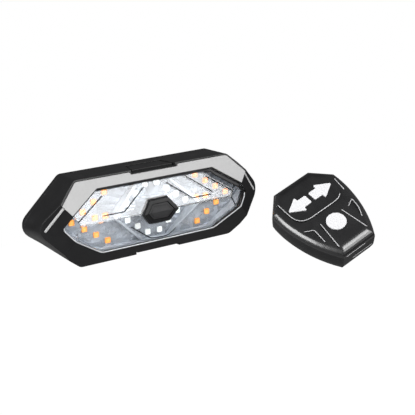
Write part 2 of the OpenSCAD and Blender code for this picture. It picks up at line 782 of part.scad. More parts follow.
// Hook that a strap loops over, on one side of the saddle
module strap_hook() {
    start = saddle_half + hook_t;
    plate = lamp_d + bracket_t;
    end = plate + hook_reach;
    upright(hook_h / 2) polygon([
        [start - hook_t, plate - over], [start, plate - over], [start, end - hook_t],
        [start + hook_t, end - hook_t], [start + hook_t, end], [start - hook_t, end]
    ]);
}

module mount_bracket() color("#1f1f21") lamp() difference() {
    union() {
        across(lamp_d, lamp_d + bracket_t) polygon(rounded([
            [bracket_l / 2, bracket_h / 2], [bracket_l / 2, -bracket_h / 2],
            [-bracket_l / 2, -bracket_h / 2], [-bracket_l / 2, bracket_h / 2]
        ], head_dia / 2));
        translate([-saddle_half, lamp_d + bracket_t - over, -bracket_h / 2])
            cube([2 * saddle_half, saddle_end_y - lamp_d - bracket_t + over, bracket_h]);
        for (side = [0, 1]) mirror([side, 0, 0]) strap_hook();
    }
    translate([0, post_y, -bracket_h / 2 - over])
        cylinder(h = bracket_h + 2 * over, r = saddle_r, $fn = saddle_fn);
    at_bracket_screws() {
        rod(lamp_d - over, lamp_d + bracket_t + over, hole_dia);
        rod(lamp_d + bracket_t - head_t, lamp_d + bracket_t + over, sink_dia);
    }
}

module saddle_pad() color("#4a4a4c") lamp() difference() {
    intersection() {
        translate([0, post_y, -bracket_h / 2]) cylinder(h = bracket_h, r = saddle_r, $fn = saddle_fn);
        translate([-far / 2, 0, -far / 2]) cube([far, saddle_end_y, far]);
    }
    translate([0, post_y, -bracket_h / 2 - over])
        cylinder(h = bracket_h + 2 * over, r = post_r, $fn = saddle_fn);
}

// Remote pieces

// Remote's own frame: the middle of its face, with the face upwards
module remote() translate(remote_at) rotate(remote_turn) children();

// Face's outline with its lower half drawn out by a share of the reach
function reached(share) = [for (p = shield) p.y < 0 ? [p.x, p.y * (1 - remote_reach * share / face_end)] : p];

// Body that swells from layer to layer, between two depths
module swollen(layers, z0, depth) hull() for (l = layers)
    translate([0, 0, z0 - depth * l[0] - (l[0] > 0 ? 0 : layer_t)])
        linear_extrude(layer_t) polygon(grown(reached(l[2]), swell_w * l[1]));

// Part of the face that stays high: the plateau round the arrows and the panel round the round key
module high_face() {
    plateau_end = face_top - plateau_drop;
    polygon(rounded([
        [plateau_w / 2, far], [plateau_w / 2, plateau_end],
        [-plateau_w / 2, plateau_end], [-plateau_w / 2, far]
    ], plateau_r, 8));
    polygon([
        [panel_top_w / 2, face_top - panel_drop], [-panel_top_w / 2, face_top - panel_drop],
        [-remote_end_w / 2, face_end], [-remote_end_w / 2, -far],
        [remote_end_w / 2, -far], [remote_end_w / 2, face_end]
    ]);
}

// Three-sided hollow beside the panel
module facet() for (side = [0, 1]) mirror([side, 0, 0]) translate([0, face_top]) polygon([
    [facet_out_x, -facet_out_drop], [facet_in_x, -facet_in_drop], [facet_low_x, -facet_low_drop]
]);

// Arrow that points to one side
module arrow_shape(side, g) {
    shaft = arrow_l - arrow_head_l;
    outline = [
        [arrow_l, 0], [shaft, -arrow_head_w / 2], [shaft, -arrow_shaft_w / 2], [0, -arrow_shaft_w / 2],
        [0, arrow_shaft_w / 2], [shaft, arrow_shaft_w / 2], [shaft, arrow_head_w / 2]
    ];
    tip = outline[0] + [g / sin(atan2(arrow_head_w / 2, arrow_head_l)), 0];
    slope = g / cos(atan2(arrow_head_w / 2, arrow_head_l)) + g * arrow_head_w / 2 / arrow_head_l;
    grown_arrow = [
        tip, outline[1] + [-g, -slope], outline[2] + [-g, -g], outline[3] + [-g, -g],
        outline[4] + [-g, g], outline[5] + [-g, g], outline[6] + [-g, slope]
    ];
    mirror([side < 0 ? 1 : 0, 0, 0]) translate([arrow_mid_gap, arrow_y])
        polygon(rounded(grown_arrow, arrow_r, 3));
}

module key_shapes(g) {
    arrow_shape(1, g);
    arrow_shape(-1, g);
    translate([0, key_y]) circle(d = key_dia + 2 * g);
}

module at_remote_screws() for (side = [-1, 1]) {
    translate([side * remote_screw_x, face_top - remote_screw_drop, 0]) children();
    translate([side * low_screw_x, face_end + low_screw_rise, 0]) children();
}

module remote_top_shell() color("#141415") remote() difference() {
    union() {
        difference() {
            swollen(top_layers, 0, top_shell_d);
            translate([0, 0, -top_shell_d - over]) linear_extrude(top_shell_d - top_shell_t + over)
                polygon(grown(shield, -remote_wall));
        }
        at_remote_screws() translate([0, 0, -top_shell_d])
            cylinder(h = top_shell_d - face_step, d = boss_dia);
    }
    translate([0, 0, -face_step]) linear_extrude(over) difference() {
        square(far, center = true);
        high_face();
    }
    translate([0, 0, -2 * face_step]) linear_extrude(over) facet();
    translate([0, 0, -top_shell_d]) linear_extrude(top_shell_d + over) key_shapes(key_gap);
    at_remote_screws() translate([0, 0, -top_shell_d - over])
        cylinder(h = top_shell_d - top_shell_t / 2 - face_step + over, d = hole_dia);
}

// Key whose first child is its cap's outline and second its flange's
module key() {
    under = top_shell_t + press_gap;
    translate([0, 0, -under]) linear_extrude(under + key_proud) children(0);
    translate([0, 0, -under - key_flange_t]) linear_extrude(key_flange_t) children(1);
}

module left_arrow_key() color("#f2f2ee") remote() key() {
    arrow_shape(-1, 0);
    arrow_shape(-1, key_flange);
}

module right_arrow_key() color("#f2f2ee") remote() key() {
    arrow_shape(1, 0);
    arrow_shape(1, key_flange);
}

module round_key() color("#f2f2ee") remote() key() {
    translate([0, key_y]) circle(d = key_dia);
    translate([0, key_y]) circle(d = key_dia + 2 * key_flange);
}

// Room round the screw bosses in what lies between the shells
module boss_clear(z0, depth) at_remote_screws() translate([0, 0, z0 - depth - over])
    cylinder(h = depth + 2 * over, d = boss_dia + 2 * fit_gap);

module key_membrane() color("#6a6b6d") remote() difference() {
    translate([0, 0, membrane_z - membrane_t]) linear_extrude(membrane_t)
        polygon(grown(shield, -remote_wall - fit_gap));
    boss_clear(membrane_z, membrane_t);
}

module remote_board() color("#1e6b3a") remote() difference() {
    translate([0, 0, remote_board_z - remote_board_t]) linear_extrude(remote_board_t)
        polygon(grown(shield, -remote_wall - fit_gap));
    boss_clear(remote_board_z, remote_board_t);
}

module remote_switches() color("#c9ccd0") remote()
    for (p = [[-arrow_mid_gap - arrow_l / 2, arrow_y], [arrow_mid_gap + arrow_l / 2, arrow_y], [0, key_y]])
        translate([p.x - remote_switch_w / 2, p.y - remote_switch_w / 2, remote_board_z])
            cube([remote_switch_w, remote_switch_w, remote_switch_t]);

module coin_cell() color("#c4c8cc") remote()
    translate([0, 0, cell_z - cell_t]) cylinder(h = cell_t, d = cell_dia);

module cell_clip() color("#b58d3c") remote() translate([0, 0, cell_z]) linear_extrude(clip_t) difference() {
    square([clip_l, clip_w], center = true);
    square([clip_l - 2 * clip_bar, clip_w - 2 * clip_bar], center = true);
}

module remote_bottom_shell() color("#161617") remote() difference() {
    swollen(bottom_layers, -top_shell_d, bottom_shell_d);
    difference() {
        translate([0, 0, remote_board_z - remote_board_t]) linear_extrude(far)
            polygon(grown(shield, -remote_wall));
        at_remote_screws() translate([0, 0, remote_board_z - remote_board_t])
            cylinder(h = -top_shell_d - remote_board_z + remote_board_t, d = boss_dia);
    }
    translate([0, 0, cell_z - cell_t]) cylinder(h = far, d = cell_dia + 2 * fit_gap);
    at_remote_screws() {
        translate([0, 0, remote_floor_z - over]) cylinder(h = far, d = hole_dia);
        translate([0, 0, remote_floor_z - over]) cylinder(h = head_t + over, d = sink_dia);
    }
    translate([pilot_x, pilot_y - over, pilot_z]) rotate([-90, 0, 0])
        cylinder(h = pilot_l + over, d = pilot_dia + 2 * screw_gap);
}

// Indicator light in the end of the remote
module pilot_light() color("#0c0c0c") remote()
    translate([pilot_x, pilot_y, pilot_z]) rotate([-90, 0, 0]) cylinder(h = pilot_l, d = pilot_dia);

module remote_screws() color("#8d9095") remote() at_remote_screws() {
    translate([0, 0, remote_floor_z]) cylinder(h = head_t, d = head_dia);
    translate([0, 0, remote_floor_z + head_t]) cylinder(h = remote_screw_l, d = screw_dia);
}

module strap_base() color("#3c3d3f") remote() difference() {
    translate([0, 0, base_z]) linear_extrude(base_d) polygon(grown(reached(1), base_out));
    at_remote_screws() translate([0, 0, base_z - over])
        cylinder(h = base_d + 2 * over, d = sink_dia);
}

module bar_pad() color("#2d2d2f") remote() difference() {
    translate([-bar_pad_l / 2, -pad_half, pad_end_z]) cube([bar_pad_l, 2 * pad_half, base_z - pad_end_z]);
    translate([-bar_pad_l / 2 - over, 0, bar_z]) rotate([0, 90, 0])
        cylinder(h = bar_pad_l + 2 * over, r = bar_r, $fn = saddle_fn);
}

front_housing();
silver_trim();
lens();
lens_seal();
light_partition();
led_board();
amber_leds_left();
amber_leds_right();
white_leds();
button_collar();
mode_button();
mode_switch();
battery();
usb_socket();
port_flap();
back_cover();
back_seal();
back_screws();
mount_bracket();
bracket_screws();
saddle_pad();
remote_top_shell();
remote_bottom_shell();
left_arrow_key();
right_arrow_key();
round_key();
key_membrane();
remote_board();
remote_switches();
coin_cell();
cell_clip();
pilot_light();
remote_screws();
strap_base();
bar_pad();
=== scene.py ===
"""Looks of a bicycle turn signal light and its handlebar remote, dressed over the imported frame."""

import math

import bmesh
import bpy
import numpy as np
from bpy.props import FloatProperty, FloatVectorProperty, PointerProperty
from mathutils import Matrix, Vector, geometry


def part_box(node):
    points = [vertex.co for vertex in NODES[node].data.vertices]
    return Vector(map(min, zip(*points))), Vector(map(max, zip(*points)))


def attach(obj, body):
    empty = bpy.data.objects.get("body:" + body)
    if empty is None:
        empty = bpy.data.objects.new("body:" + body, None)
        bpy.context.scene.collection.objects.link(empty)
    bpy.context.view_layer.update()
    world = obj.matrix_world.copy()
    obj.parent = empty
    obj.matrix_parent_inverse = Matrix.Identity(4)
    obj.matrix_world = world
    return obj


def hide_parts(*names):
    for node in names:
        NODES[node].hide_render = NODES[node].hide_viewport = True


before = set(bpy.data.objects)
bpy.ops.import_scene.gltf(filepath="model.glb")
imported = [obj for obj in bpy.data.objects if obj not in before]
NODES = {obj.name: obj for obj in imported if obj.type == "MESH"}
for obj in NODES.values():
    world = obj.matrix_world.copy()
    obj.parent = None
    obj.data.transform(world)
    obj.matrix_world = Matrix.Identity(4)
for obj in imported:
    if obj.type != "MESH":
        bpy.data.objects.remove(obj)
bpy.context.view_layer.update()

bl_info = {
    "name": "Turn signal light dresser",
    "version": (1, 0, 0),
    "blender": (4, 5, 0),
    "location": "View3D > Sidebar > Signal light",
    "description": "Finishes for a six-sided bicycle lamp with arrow lights and its three-key remote",
    "category": "Object",
}

MM = 0.001

# Lamp, in millimetres and degrees: x goes across, z goes up, and a depth is taken back from the front's
# ridge, whose own place is found from the lens
LENS_DEPTH = 4.0
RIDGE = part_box("lens")[0][1] / MM - LENS_DEPTH
HALF_RIDGE = 37.2
HALF_HEIGHT = 19.6
FRONT_RAKE = 24.0
LENS_RAKE = 20.0
END_RAKE = 29.2
BOARD_DEPTH = 13.5
CHIP_DEPTH = 12.61
BACK_SCREWS = (37.0, 14.0)
BRACKET_SCREWS = (22.4, 10.4)
COLLAR = ((4.55, 5.3), (8.65, 0.0), (4.55, -5.3), (-4.55, -5.3), (-8.65, 0.0), (-4.55, 5.3))
OPENING = ((28.6, 14.5), (41.6, 5.8), (46.2, 0.0), (41.6, -5.8), (28.6, -14.5),
           (-28.6, -14.5), (-41.6, -5.8), (-46.2, 0.0), (-41.6, 5.8), (-28.6, 14.5))

# The remote's own middle in millimetres, its directions across, up its face and out of it, and its screws
REMOTE_PLACE = np.array((57.5, -86.7, 0.0))
REMOTE_ACROSS = np.array((0.92845, -0.0081, 0.37137))
REMOTE_OUT = np.array((-0.32842, -0.48501, 0.8105))
REMOTE_TURN = np.stack([REMOTE_ACROSS, np.cross(REMOTE_OUT, REMOTE_ACROSS), REMOTE_OUT], -1)
REMOTE_SCREWS = np.array([(-8.5, 16.3), (8.5, 16.3), (-6.2, -15.2), (6.2, -15.2)])

# The photograph's camera: focal length in pixels of its square frame, place in metres, and directions
FRAME_PIXELS = 415.0
FOCAL_PIXELS = 904.15
SENSOR_WIDTH = 36.0
CAMERA_PLACE = (-0.17453, -0.38702, 0.11747)
CAMERA_RIGHT = (0.85834, -0.51148, -0.04038)
CAMERA_UP = (0.18223, 0.23034, 0.95590)
CAMERA_BACK = (-0.47962, -0.82785, 0.29092)

# How far the softboxes stand from the origin, in metres
LIGHT_DISTANCE = 0.8

# Direction out of the lamp's front
FORWARD = (0.0, -1.0, 0.0)


# Node trees

class Wires:
    """Places and links the nodes of one tree."""

    def __init__(self, tree):
        self.tree = tree

    def feed(self, inputs, values):
        """Links each input to its socket, or sets it to its plain value."""
        for key, value in values.items():
            if isinstance(value, bpy.types.NodeSocket):
                self.tree.links.new(value, inputs[key])
            else:
                inputs[key].default_value = value

    def add(self, kind, values=None, **settings):
        """New node with its settings and its inputs."""
        node = self.tree.nodes.new("ShaderNode" + kind)
        for key, value in settings.items():
            setattr(node, key, value)
        self.feed(node.inputs, values or {})
        return node

    def use(self, tree, **values):
        """Output of a shared effect that is placed with its own values."""
        node = self.tree.nodes.new("ShaderNodeGroup")
        node.node_tree = tree
        self.feed(node.inputs, values)
        return node.outputs[0]

    def sums(self, operation, *values):
        """One step of arithmetic on numbers or sockets."""
        return self.add("Math", dict(enumerate(values)), operation=operation).outputs[0]

    def blend(self, factor, low, high):
        """Colour between low and high; a Mix node has its colours at inputs 6 and 7 and output 2."""
        return self.add("Mix", {"Factor": factor, 6: low, 7: high}, data_type="RGBA").outputs[2]


def group(name, inputs, output, fill):
    """Shared effect as a node group, made once; fill(wires, ins) gives the socket of its one output."""
    found = bpy.data.node_groups.get(name)
    if found:
        return found
    tree = bpy.data.node_groups.new(name, "ShaderNodeTree")
    for label, kind, default in (("Vector", "Vector", None), *inputs):
        socket = tree.interface.new_socket(label, in_out="INPUT", socket_type="NodeSocket" + kind)
        if default is not None:
            socket.default_value = default
    label, kind = output
    tree.interface.new_socket(label, in_out="OUTPUT", socket_type="NodeSocket" + kind)
    ins = tree.nodes.new("NodeGroupInput").outputs
    out = tree.nodes.new("NodeGroupOutput")
    tree.links.new(fill(Wires(tree), ins), out.inputs[label])
    return tree


def moulded_grain():
    """Spark-eroded mould texture: a fine grain for the bump."""
    def fill(w, ins):
        fine = w.add("TexNoise", {"Vector": ins["Vector"], "Scale": ins["Size"], "Detail": 3.0})
        return fine.outputs["Fac"]
    return group("Moulded grain", [("Size", "Float", 5000.0)], ("Height", "Float"), fill)


def tone_drift():
    """Slight change of tone over a surface, as a share of its colour."""
    def fill(w, ins):
        slow = w.add("TexNoise", {"Vector": ins["Vector"], "Scale": ins["Size"], "Detail": 3.0})
        lift = w.sums("SUBTRACT", slow.outputs["Fac"], 0.5)
        level = w.sums("MULTIPLY_ADD", lift, ins["Share"], 1.0)
        return w.add("VectorMath", {0: ins["Color"], "Scale": level}, operation="SCALE").outputs[0]
    inputs = [("Color", "Color", grey(0.5)), ("Share", "Float", 0.3), ("Size", "Float", 120.0)]
    return group("Tone drift", inputs, ("Color", "Color"), fill)


def handled_gloss():
    """Gloss that handling has dulled in patches, from the low to the high roughness."""
    def fill(w, ins):
        smear = w.add("TexNoise", {"Vector": ins["Vector"], "Scale": ins["Size"], "Detail": 4.0,
                                   "Distortion": 0.6})
        span = {"Value": smear.outputs["Fac"], "From Min": 0.35, "From Max": 0.68,
                "To Min": ins["Low"], "To Max": ins["High"]}
        return w.add("MapRange", span).outputs[0]
    inputs = [("Low", "Float", 0.3), ("High", "Float", 0.4), ("Size", "Float", 90.0)]
    return group("Handled gloss", inputs, ("Roughness", "Float"), fill)


def brushed_lines():
    """Fine lines along X, from a noise that is drawn out that way."""
    def fill(w, ins):
        along_x = {0: ins["Vector"], 1: (0.02, 1.0, 1.0)}
        drawn_out = w.add("VectorMath", along_x, operation="MULTIPLY").outputs[0]
        lines = w.add("TexNoise", {"Vector": drawn_out, "Scale": ins["Size"], "Detail": 2.0})
        return lines.outputs["Fac"]
    return group("Brushed lines", [("Size", "Float", 6000.0)], ("Lines", "Float"), fill)


def blank(name):
    """New material with only its output, its Principled shader and Object coordinates."""
    material = bpy.data.materials.new(name)
    material.use_nodes = True
    wires = Wires(material.node_tree)
    shader = material.node_tree.nodes["Principled BSDF"]
    place = wires.add("TexCoord").outputs["Object"]
    return material, wires, shader, place


def known(make):
    """Makes a finish the first time that it is asked for, and finds it after that."""
    def ask(context):
        name = make.__name__.replace("_", " ")
        return bpy.data.materials.get(name) or make(context, name)
    return ask


def rgba(colour):
    """Colour with a full alpha."""
    return (*colour[:3], 1.0)


def grey(level):
    """Grey with a full alpha."""
    return (level, level, level, 1.0)


# Finishes

def plastic(name, colour, gloss, grain, depth, shine=0.5, drift=0.25, roll=0.0):
    """Moulded plastic: a tone that drifts by a share, a gloss between two roughnesses, a grain of some depth
    in the bump, and edges that roll by a radius."""
    material, w, shader, place = blank(name)
    low, high = gloss
    skin = w.use(moulded_grain(), Vector=place, Size=grain)
    bump = w.add("Bump", {"Height": skin, "Strength": 0.5, "Distance": depth})
    if roll > 0:
        w.feed(bump.inputs, {"Normal": w.add("Bevel", {"Radius": roll}, samples=12).outputs[0]})
    w.feed(shader.inputs, {
        "Base Color": w.use(tone_drift(), Vector=place, Color=rgba(colour), Share=drift, Size=140.0),
        "Roughness": w.use(handled_gloss(), Vector=place, Low=low, High=high, Size=110.0),
        "Normal": bump.outputs[0],
        "Specular IOR Level": shine,
    })
    return material


def plated(name, colour, drift, gloss, levels, lines=None):
    """Metal or lacquer: drift is the share and size of its change of tone, gloss is its two roughnesses and
    the size of their patches, levels are plain values of the shader, and lines is the size, strength and
    depth of fine lines in the bump."""
    material, w, shader, place = blank(name)
    share, drift_size = drift
    low, high, gloss_size = gloss
    w.feed(shader.inputs, {
        "Base Color": w.use(tone_drift(), Vector=place, Color=rgba(colour), Share=share, Size=drift_size),
        "Roughness": w.use(handled_gloss(), Vector=place, Low=low, High=high, Size=gloss_size),
    })
    if lines:
        size, strength, depth = lines
        height = w.use(brushed_lines(), Vector=place, Size=size)
        bump = w.add("Bump", {"Height": height, "Strength": strength, "Distance": depth})
        w.feed(shader.inputs, {"Normal": bump.outputs[0]})
    w.feed(shader.inputs, levels)
    return material


@known
def housing_black(context, name):
    """Black of the lamp's shells and bracket."""
    looks = context.scene.lamp_looks
    return plastic(name, looks.housing_colour, gloss=(0.38, 0.48), grain=4200.0, depth=0.012 * MM, shine=0.3,
                   roll=looks.edge)


@known
def collar_black(context, name):
    """Deeper black of the button's collar and the lens's lip."""
    looks = context.scene.lamp_looks
    return plastic(name, looks.collar_colour, gloss=(0.34, 0.44), grain=4600.0, depth=0.014 * MM, shine=0.3,
                   roll=looks.fine_edge)


@known
def button_rubber(context, name):
    """Firm rubber of the mode button."""
    colour = context.scene.lamp_looks.button_colour
    return plastic(name, colour, gloss=(0.5, 0.62), grain=3800.0, depth=0.03 * MM, shine=0.3)


@known
def soft_rubber(context, name):
    """Matt rubber of pads, seals and flap."""
    colour = context.scene.lamp_looks.rubber_colour
    return plastic(name, colour, gloss=(0.58, 0.72), grain=3000.0, depth=0.04 * MM, shine=0.3, drift=0.4)


@known
def remote_gloss(context, name):
    """Satin black with a glossy coat where the shell rolls over at its outline."""
    colour = context.scene.remote_looks.shell_colour
    material = plastic(name, colour, gloss=(0.42, 0.52), grain=3200.0, depth=0.002 * MM, shine=0.35)
    w = Wires(material.node_tree)
    rolled = w.add("Attribute", attribute_name="rolled").outputs["Fac"]
    w.feed(w.tree.nodes["Principled BSDF"].inputs, {"Coat Weight": rolled, "Coat Roughness": 0.24})
    return material


@known
def key_white(context, name):
    """White of the remote's keys."""
    colour = context.scene.remote_looks.key_colour
    return plastic(name, colour, gloss=(0.4, 0.5), grain=4200.0, depth=0.01 * MM, shine=0.4, drift=0.06)


@known
def partition_pale(context, name):
    """Pale plastic of the walls between the lights."""
    colour = context.scene.lamp_looks.partition_colour
    return plastic(name, colour, gloss=(0.22, 0.34), grain=3600.0, depth=0.008 * MM, drift=0.12)


@known
def seal_silicone(context, name):
    """Grey silicone of the lens's seal."""
    colour = context.scene.lamp_looks.seal_colour
    return plastic(name, colour, gloss=(0.3, 0.42), grain=2600.0, depth=0.012 * MM, drift=0.12)


@known
def lens_ink(context, name):
    """Matt black of the lines on the lens."""
    return plastic(name, (0.012, 0.012, 0.013), gloss=(0.85, 0.95), grain=3000.0, depth=0.004 * MM, shine=0.0)


@known
def rim_highlight_bead(context, name):
    """Pale bead round the lens opening, its pale colour a painted highlight along the lens edge."""
    return plastic(name, (0.78, 0.8, 0.82), gloss=(0.18, 0.28), grain=2600.0, depth=0.006 * MM, drift=0.1)


@known
def edge_highlight_paint(context, name):
    """Painted highlights along the remote's edges: pale lines."""
    colour = context.scene.remote_looks.highlight_line_colour
    return plastic(name, colour, gloss=(0.2, 0.3), grain=3600.0, depth=0.004 * MM, drift=0.15)


@known
def base_grey(context, name):
    """Dark grey of the remote's strap base."""
    colour = context.scene.remote_looks.base_colour
    return plastic(name, colour, gloss=(0.38, 0.5), grain=4200.0, depth=0.015 * MM, shine=0.35)


@known
def membrane_grey(context, name):
    """Silicone of the key membrane."""
    return plastic(name, (0.14, 0.14, 0.15), gloss=(0.5, 0.62), grain=2600.0, depth=0.02 * MM, shine=0.3)


@known
def battery_film(context, name):
    """Blue film round the battery."""
    return plastic(name, (0.04, 0.15, 0.34), gloss=(0.16, 0.3), grain=900.0, depth=0.02 * MM, drift=0.15)


@known
def chip_case(context, name):
    """White case of an LED."""
    return plastic(name, (0.78, 0.79, 0.8), gloss=(0.3, 0.4), grain=5000.0, depth=0.004 * MM, drift=0.1)


@known
def reflector(context, name):
    """Vacuum-plated reflector: a cold silver whose gloss and tone drift from facet to facet."""
    colour = context.scene.lamp_looks.tray_colour
    return plated(name, colour, drift=(1.3, 120.0), gloss=(0.18, 0.34, 240.0),
                  levels={"Metallic": 0.55})


@known
def trim_silver(context, name):
    """Silver lacquer: flake in the tone, faint lines in the bump."""
    colour = context.scene.lamp_looks.trim_colour
    return plated(name, colour, drift=(0.1, 900.0), gloss=(0.46, 0.54, 80.0),
                  levels={"Specular IOR Level": 0.25}, lines=(5200.0, 0.2, 0.006 * MM))


@known
def steel(context, name):
    """Plated steel with fine lines."""
    return plated(name, (0.42, 0.42, 0.43), drift=(0.3, 400.0), gloss=(0.24, 0.36, 300.0),
                  levels={"Metallic": 1.0}, lines=(7000.0, 0.4, 0.01 * MM))


@known
def clip_brass(context, name):
    """Spring brass."""
    return plated(name, (0.55, 0.36, 0.1), drift=(0.3, 300.0), gloss=(0.22, 0.34, 300.0),
                  levels={"Metallic": 1.0})


@known
def lens_clear(context, name):
    """Clear polished plastic that lets the softboxes' light through to what lies behind it."""
    material, w, shader, place = blank(name)
    tint = rgba(context.scene.lamp_looks.lens_tint)
    w.feed(shader.inputs, {
        "Base Color": tint,
        "Roughness": w.use(handled_gloss(), Vector=place, Low=0.0, High=0.05, Size=60.0),
        "IOR": 1.49,
        "Transmission Weight": 1.0,
    })
    clear = w.add("BsdfTransparent", {"Color": tint})
    shadow = w.add("LightPath").outputs["Is Shadow Ray"]
    mix = w.add("MixShader", {0: shadow, 1: shader.outputs[0], 2: clear.outputs[0]})
    w.feed(w.tree.nodes["Material Output"].inputs, {"Surface": mix.outputs[0]})
    return material


@known
def board_white(context, name):
    """Glossy white solder mask with the tracks standing up under it."""
    material, w, shader, place = blank(name)
    colour = rgba(context.scene.lamp_looks.board_colour)
    shaded = rgba([channel * 0.82 for channel in colour])
    upright = w.add("Mapping", {"Vector": place, "Rotation": (math.radians(90), 0.0, 0.0)}).outputs[0]
    tracks = w.add("TexBrick", {"Vector": upright, "Scale": 160.0, "Mortar Size": 0.03, "Mortar Smooth": 0.2,
                                "Brick Width": 1.4, "Row Height": 0.55}).outputs["Fac"]
    bump = w.add("Bump", {"Height": tracks, "Strength": 0.6, "Distance": 0.03 * MM})
    w.feed(shader.inputs, {
        "Base Color": w.blend(tracks, colour, shaded),
        "Roughness": w.use(handled_gloss(), Vector=place, Low=0.14, High=0.26, Size=120.0),
        "Normal": bump.outputs[0],
    })
    return material


@known
def board_green(context, name):
    """Green solder mask with paler tracks."""
    material, w, shader, place = blank(name)
    tracks = w.add("TexBrick", {"Vector": place, "Scale": 220.0, "Mortar Size": 0.05, "Brick Width": 1.2})
    tone = w.blend(tracks.outputs["Fac"], (0.008, 0.11, 0.03, 1.0), (0.02, 0.2, 0.06, 1.0))
    w.feed(shader.inputs, {"Base Color": tone, "Roughness": 0.3})
    return material


def chip_resin(name, colour, core, glow):
    """Cast resin over a chip: paler towards its core, cloudy, and with a little painted glow, own light that
    lifts it out of the shade inside the housing.
    """
    material, w, shader, place = blank(name)
    middle = w.add("Attribute", attribute_name="core").outputs["Fac"]
    tone = w.blend(middle, rgba(colour), rgba(core))
    tint = w.use(tone_drift(), Vector=place, Color=tone, Share=0.3, Size=900.0)
    w.feed(shader.inputs, {
        # Emission here is a painted glow that brightens the LEDs against the housing's shade
        "Base Color": tint,
        "Emission Color": tint,
        "Emission Strength": glow,
        "Roughness": w.use(handled_gloss(), Vector=place, Low=0.12, High=0.3, Size=900.0),
    })
    return material


@known
def led_amber(context, name):
    """Resin of the arrows' LEDs."""
    looks = context.scene.lamp_looks
    return chip_resin(name, looks.amber_colour, looks.amber_core, looks.amber_painted_glow)


@known
def led_white(context, name):
    """Resin of the ring's LEDs."""
    looks = context.scene.lamp_looks
    return chip_resin(name, looks.white_colour, looks.white_core, looks.white_painted_glow)


# Surfaces

def mesh_object(name, points, faces, materials, slots=None, smooth=True, core=None):
    """New object at the origin from arrays of points, in metres, and faces; points that meet at a pole are
    merged."""
    mesh = bpy.data.meshes.new(name)
    mesh.from_pydata(points.reshape(-1, 3).tolist(), [], faces.tolist())
    for material in materials:
        mesh.materials.append(material)
    if slots is not None:
        mesh.polygons.foreach_set("material_index", slots.astype(np.int32))
    mesh.polygons.foreach_set("use_smooth", np.full(len(faces), smooth))
    if core is not None:
        values = mesh.attributes.new("core", "FLOAT", "POINT").data
        values.foreach_set("value", core.astype(np.float32).ravel())
    merged = bmesh.new()
    merged.from_mesh(mesh)
    bmesh.ops.remove_doubles(merged, verts=merged.verts, dist=0.0002 * MM)
    merged.to_mesh(mesh)
    merged.free()
    mesh.update()
    piece = bpy.data.objects.new(name, mesh)
    bpy.context.scene.collection.objects.link(piece)
    return piece


def add_piece(name, points, faces, materials, body, slot, replaces=(), slots=None, smooth=True, core=None):
    """New piece that rides a body and stands for the solids that it replaces; its slot is not used."""
    piece = mesh_object(name, points, faces, materials, slots, smooth, core)
    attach(piece, body)
    for node in replaces:
        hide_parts(node)
    return piece


def soften(piece, angle=30.0):
    """Joins a solid's loose faces, shades its curves smoothly and keeps its edges sharp, all as modifiers."""
    piece.data.polygons.foreach_set("use_smooth", np.ones(len(piece.data.polygons), bool))
    weld = piece.modifiers.new("Join", "WELD")
    weld.merge_threshold = 0.001 * MM
    split = piece.modifiers.new("Edges", "EDGE_SPLIT")
    split.split_angle = math.radians(angle)


def dress(node, material):
    """Gives a carried-over solid its finish and its shading."""
    piece = NODES[node]
    piece.data.materials.clear()
    piece.data.materials.append(material)
    soften(piece)


def grid_faces(rows, columns, loop=False):
    """Quads of a grid of rows by columns whose last column meets the first; loop joins the last row to the
    first as well."""
    i, j = np.meshgrid(np.arange(rows if loop else rows - 1), np.arange(columns), indexing="ij")
    below = (i + 1) % rows * columns
    beside = (j + 1) % columns
    quads = np.stack([i * columns + j, i * columns + beside, below + beside, below + j], -1)
    return quads.reshape(-1, 4)


def outward(points, faces):
    """Faces of a closed surface, turned so that its volume, the sum of its signed tetrahedra, is positive."""
    p = points.reshape(-1, 3)
    a, b, c, d = (p[faces[:, k]] - p.mean(0) for k in range(4))
    volume = np.sum(np.cross(b - a, c - a) * a) + np.sum(np.cross(c - a, d - a) * a)
    return faces if volume > 0 else faces[:, ::-1]


def repeated(faces, copies, size):
    """Faces of one surface, which has a size in points, for as many copies in a row."""
    return (faces[None] + np.arange(copies)[:, None, None] * size).reshape(-1, 4)


def joined(parts):
    """Points and faces of several surfaces as one."""
    starts = np.cumsum([0] + [len(points.reshape(-1, 3)) for points, _ in parts])
    points = np.concatenate([points.reshape(-1, 3) for points, _ in parts])
    return points, np.concatenate([faces + start for (_, faces), start in zip(parts, starts)])


def mesh_points(mesh):
    """Vertices of a mesh as rows of x, y, z."""
    points = np.empty(len(mesh.vertices) * 3)
    mesh.vertices.foreach_get("co", points)
    return points.reshape(-1, 3)


def in_lamp(places, depth):
    """World points, in metres, from places across and up the lamp and their depths, in millimetres."""
    return np.stack(np.broadcast_arrays(places[..., 0], depth + RIDGE, places[..., 1]), -1) * MM


def in_remote(places, level):
    """World points, in metres, from places across and up the remote's face and their levels out of it."""
    own = np.stack(np.broadcast_arrays(places[..., 0], places[..., 1], level), -1)
    return (own @ REMOTE_TURN.T + REMOTE_PLACE) * MM


def own_remote(points):
    """The remote's own millimetres across, up its face and out of it, from world points in metres."""
    return (points / MM - REMOTE_PLACE) @ REMOTE_TURN


def unit(vectors):
    """Vectors scaled to a length of 1."""
    return vectors / np.linalg.norm(vectors, axis=-1, keepdims=True)


def inset(corners, depth):
    """Convex clockwise outline moved inwards: each corner is where its two moved edges cross."""
    corners = np.asarray(corners, float)
    along = unit(np.roll(corners, -1, 0) - corners)
    inward = np.stack([along[:, 1], -along[:, 0]], -1)
    turn_in = np.roll(inward, 1, 0)
    reach = 1.0 + np.sum(inward * turn_in, -1, keepdims=True)
    return corners + depth * (inward + turn_in) / reach


def outline(corners, per_edge):
    """Points along the edges of an outline, as many on each."""
    corners = np.asarray(corners, float)
    share = (np.arange(per_edge) / per_edge)[None, :, None]
    return (corners[:, None] * (1 - share) + np.roll(corners, -1, 0)[:, None] * share).reshape(-1, 2)


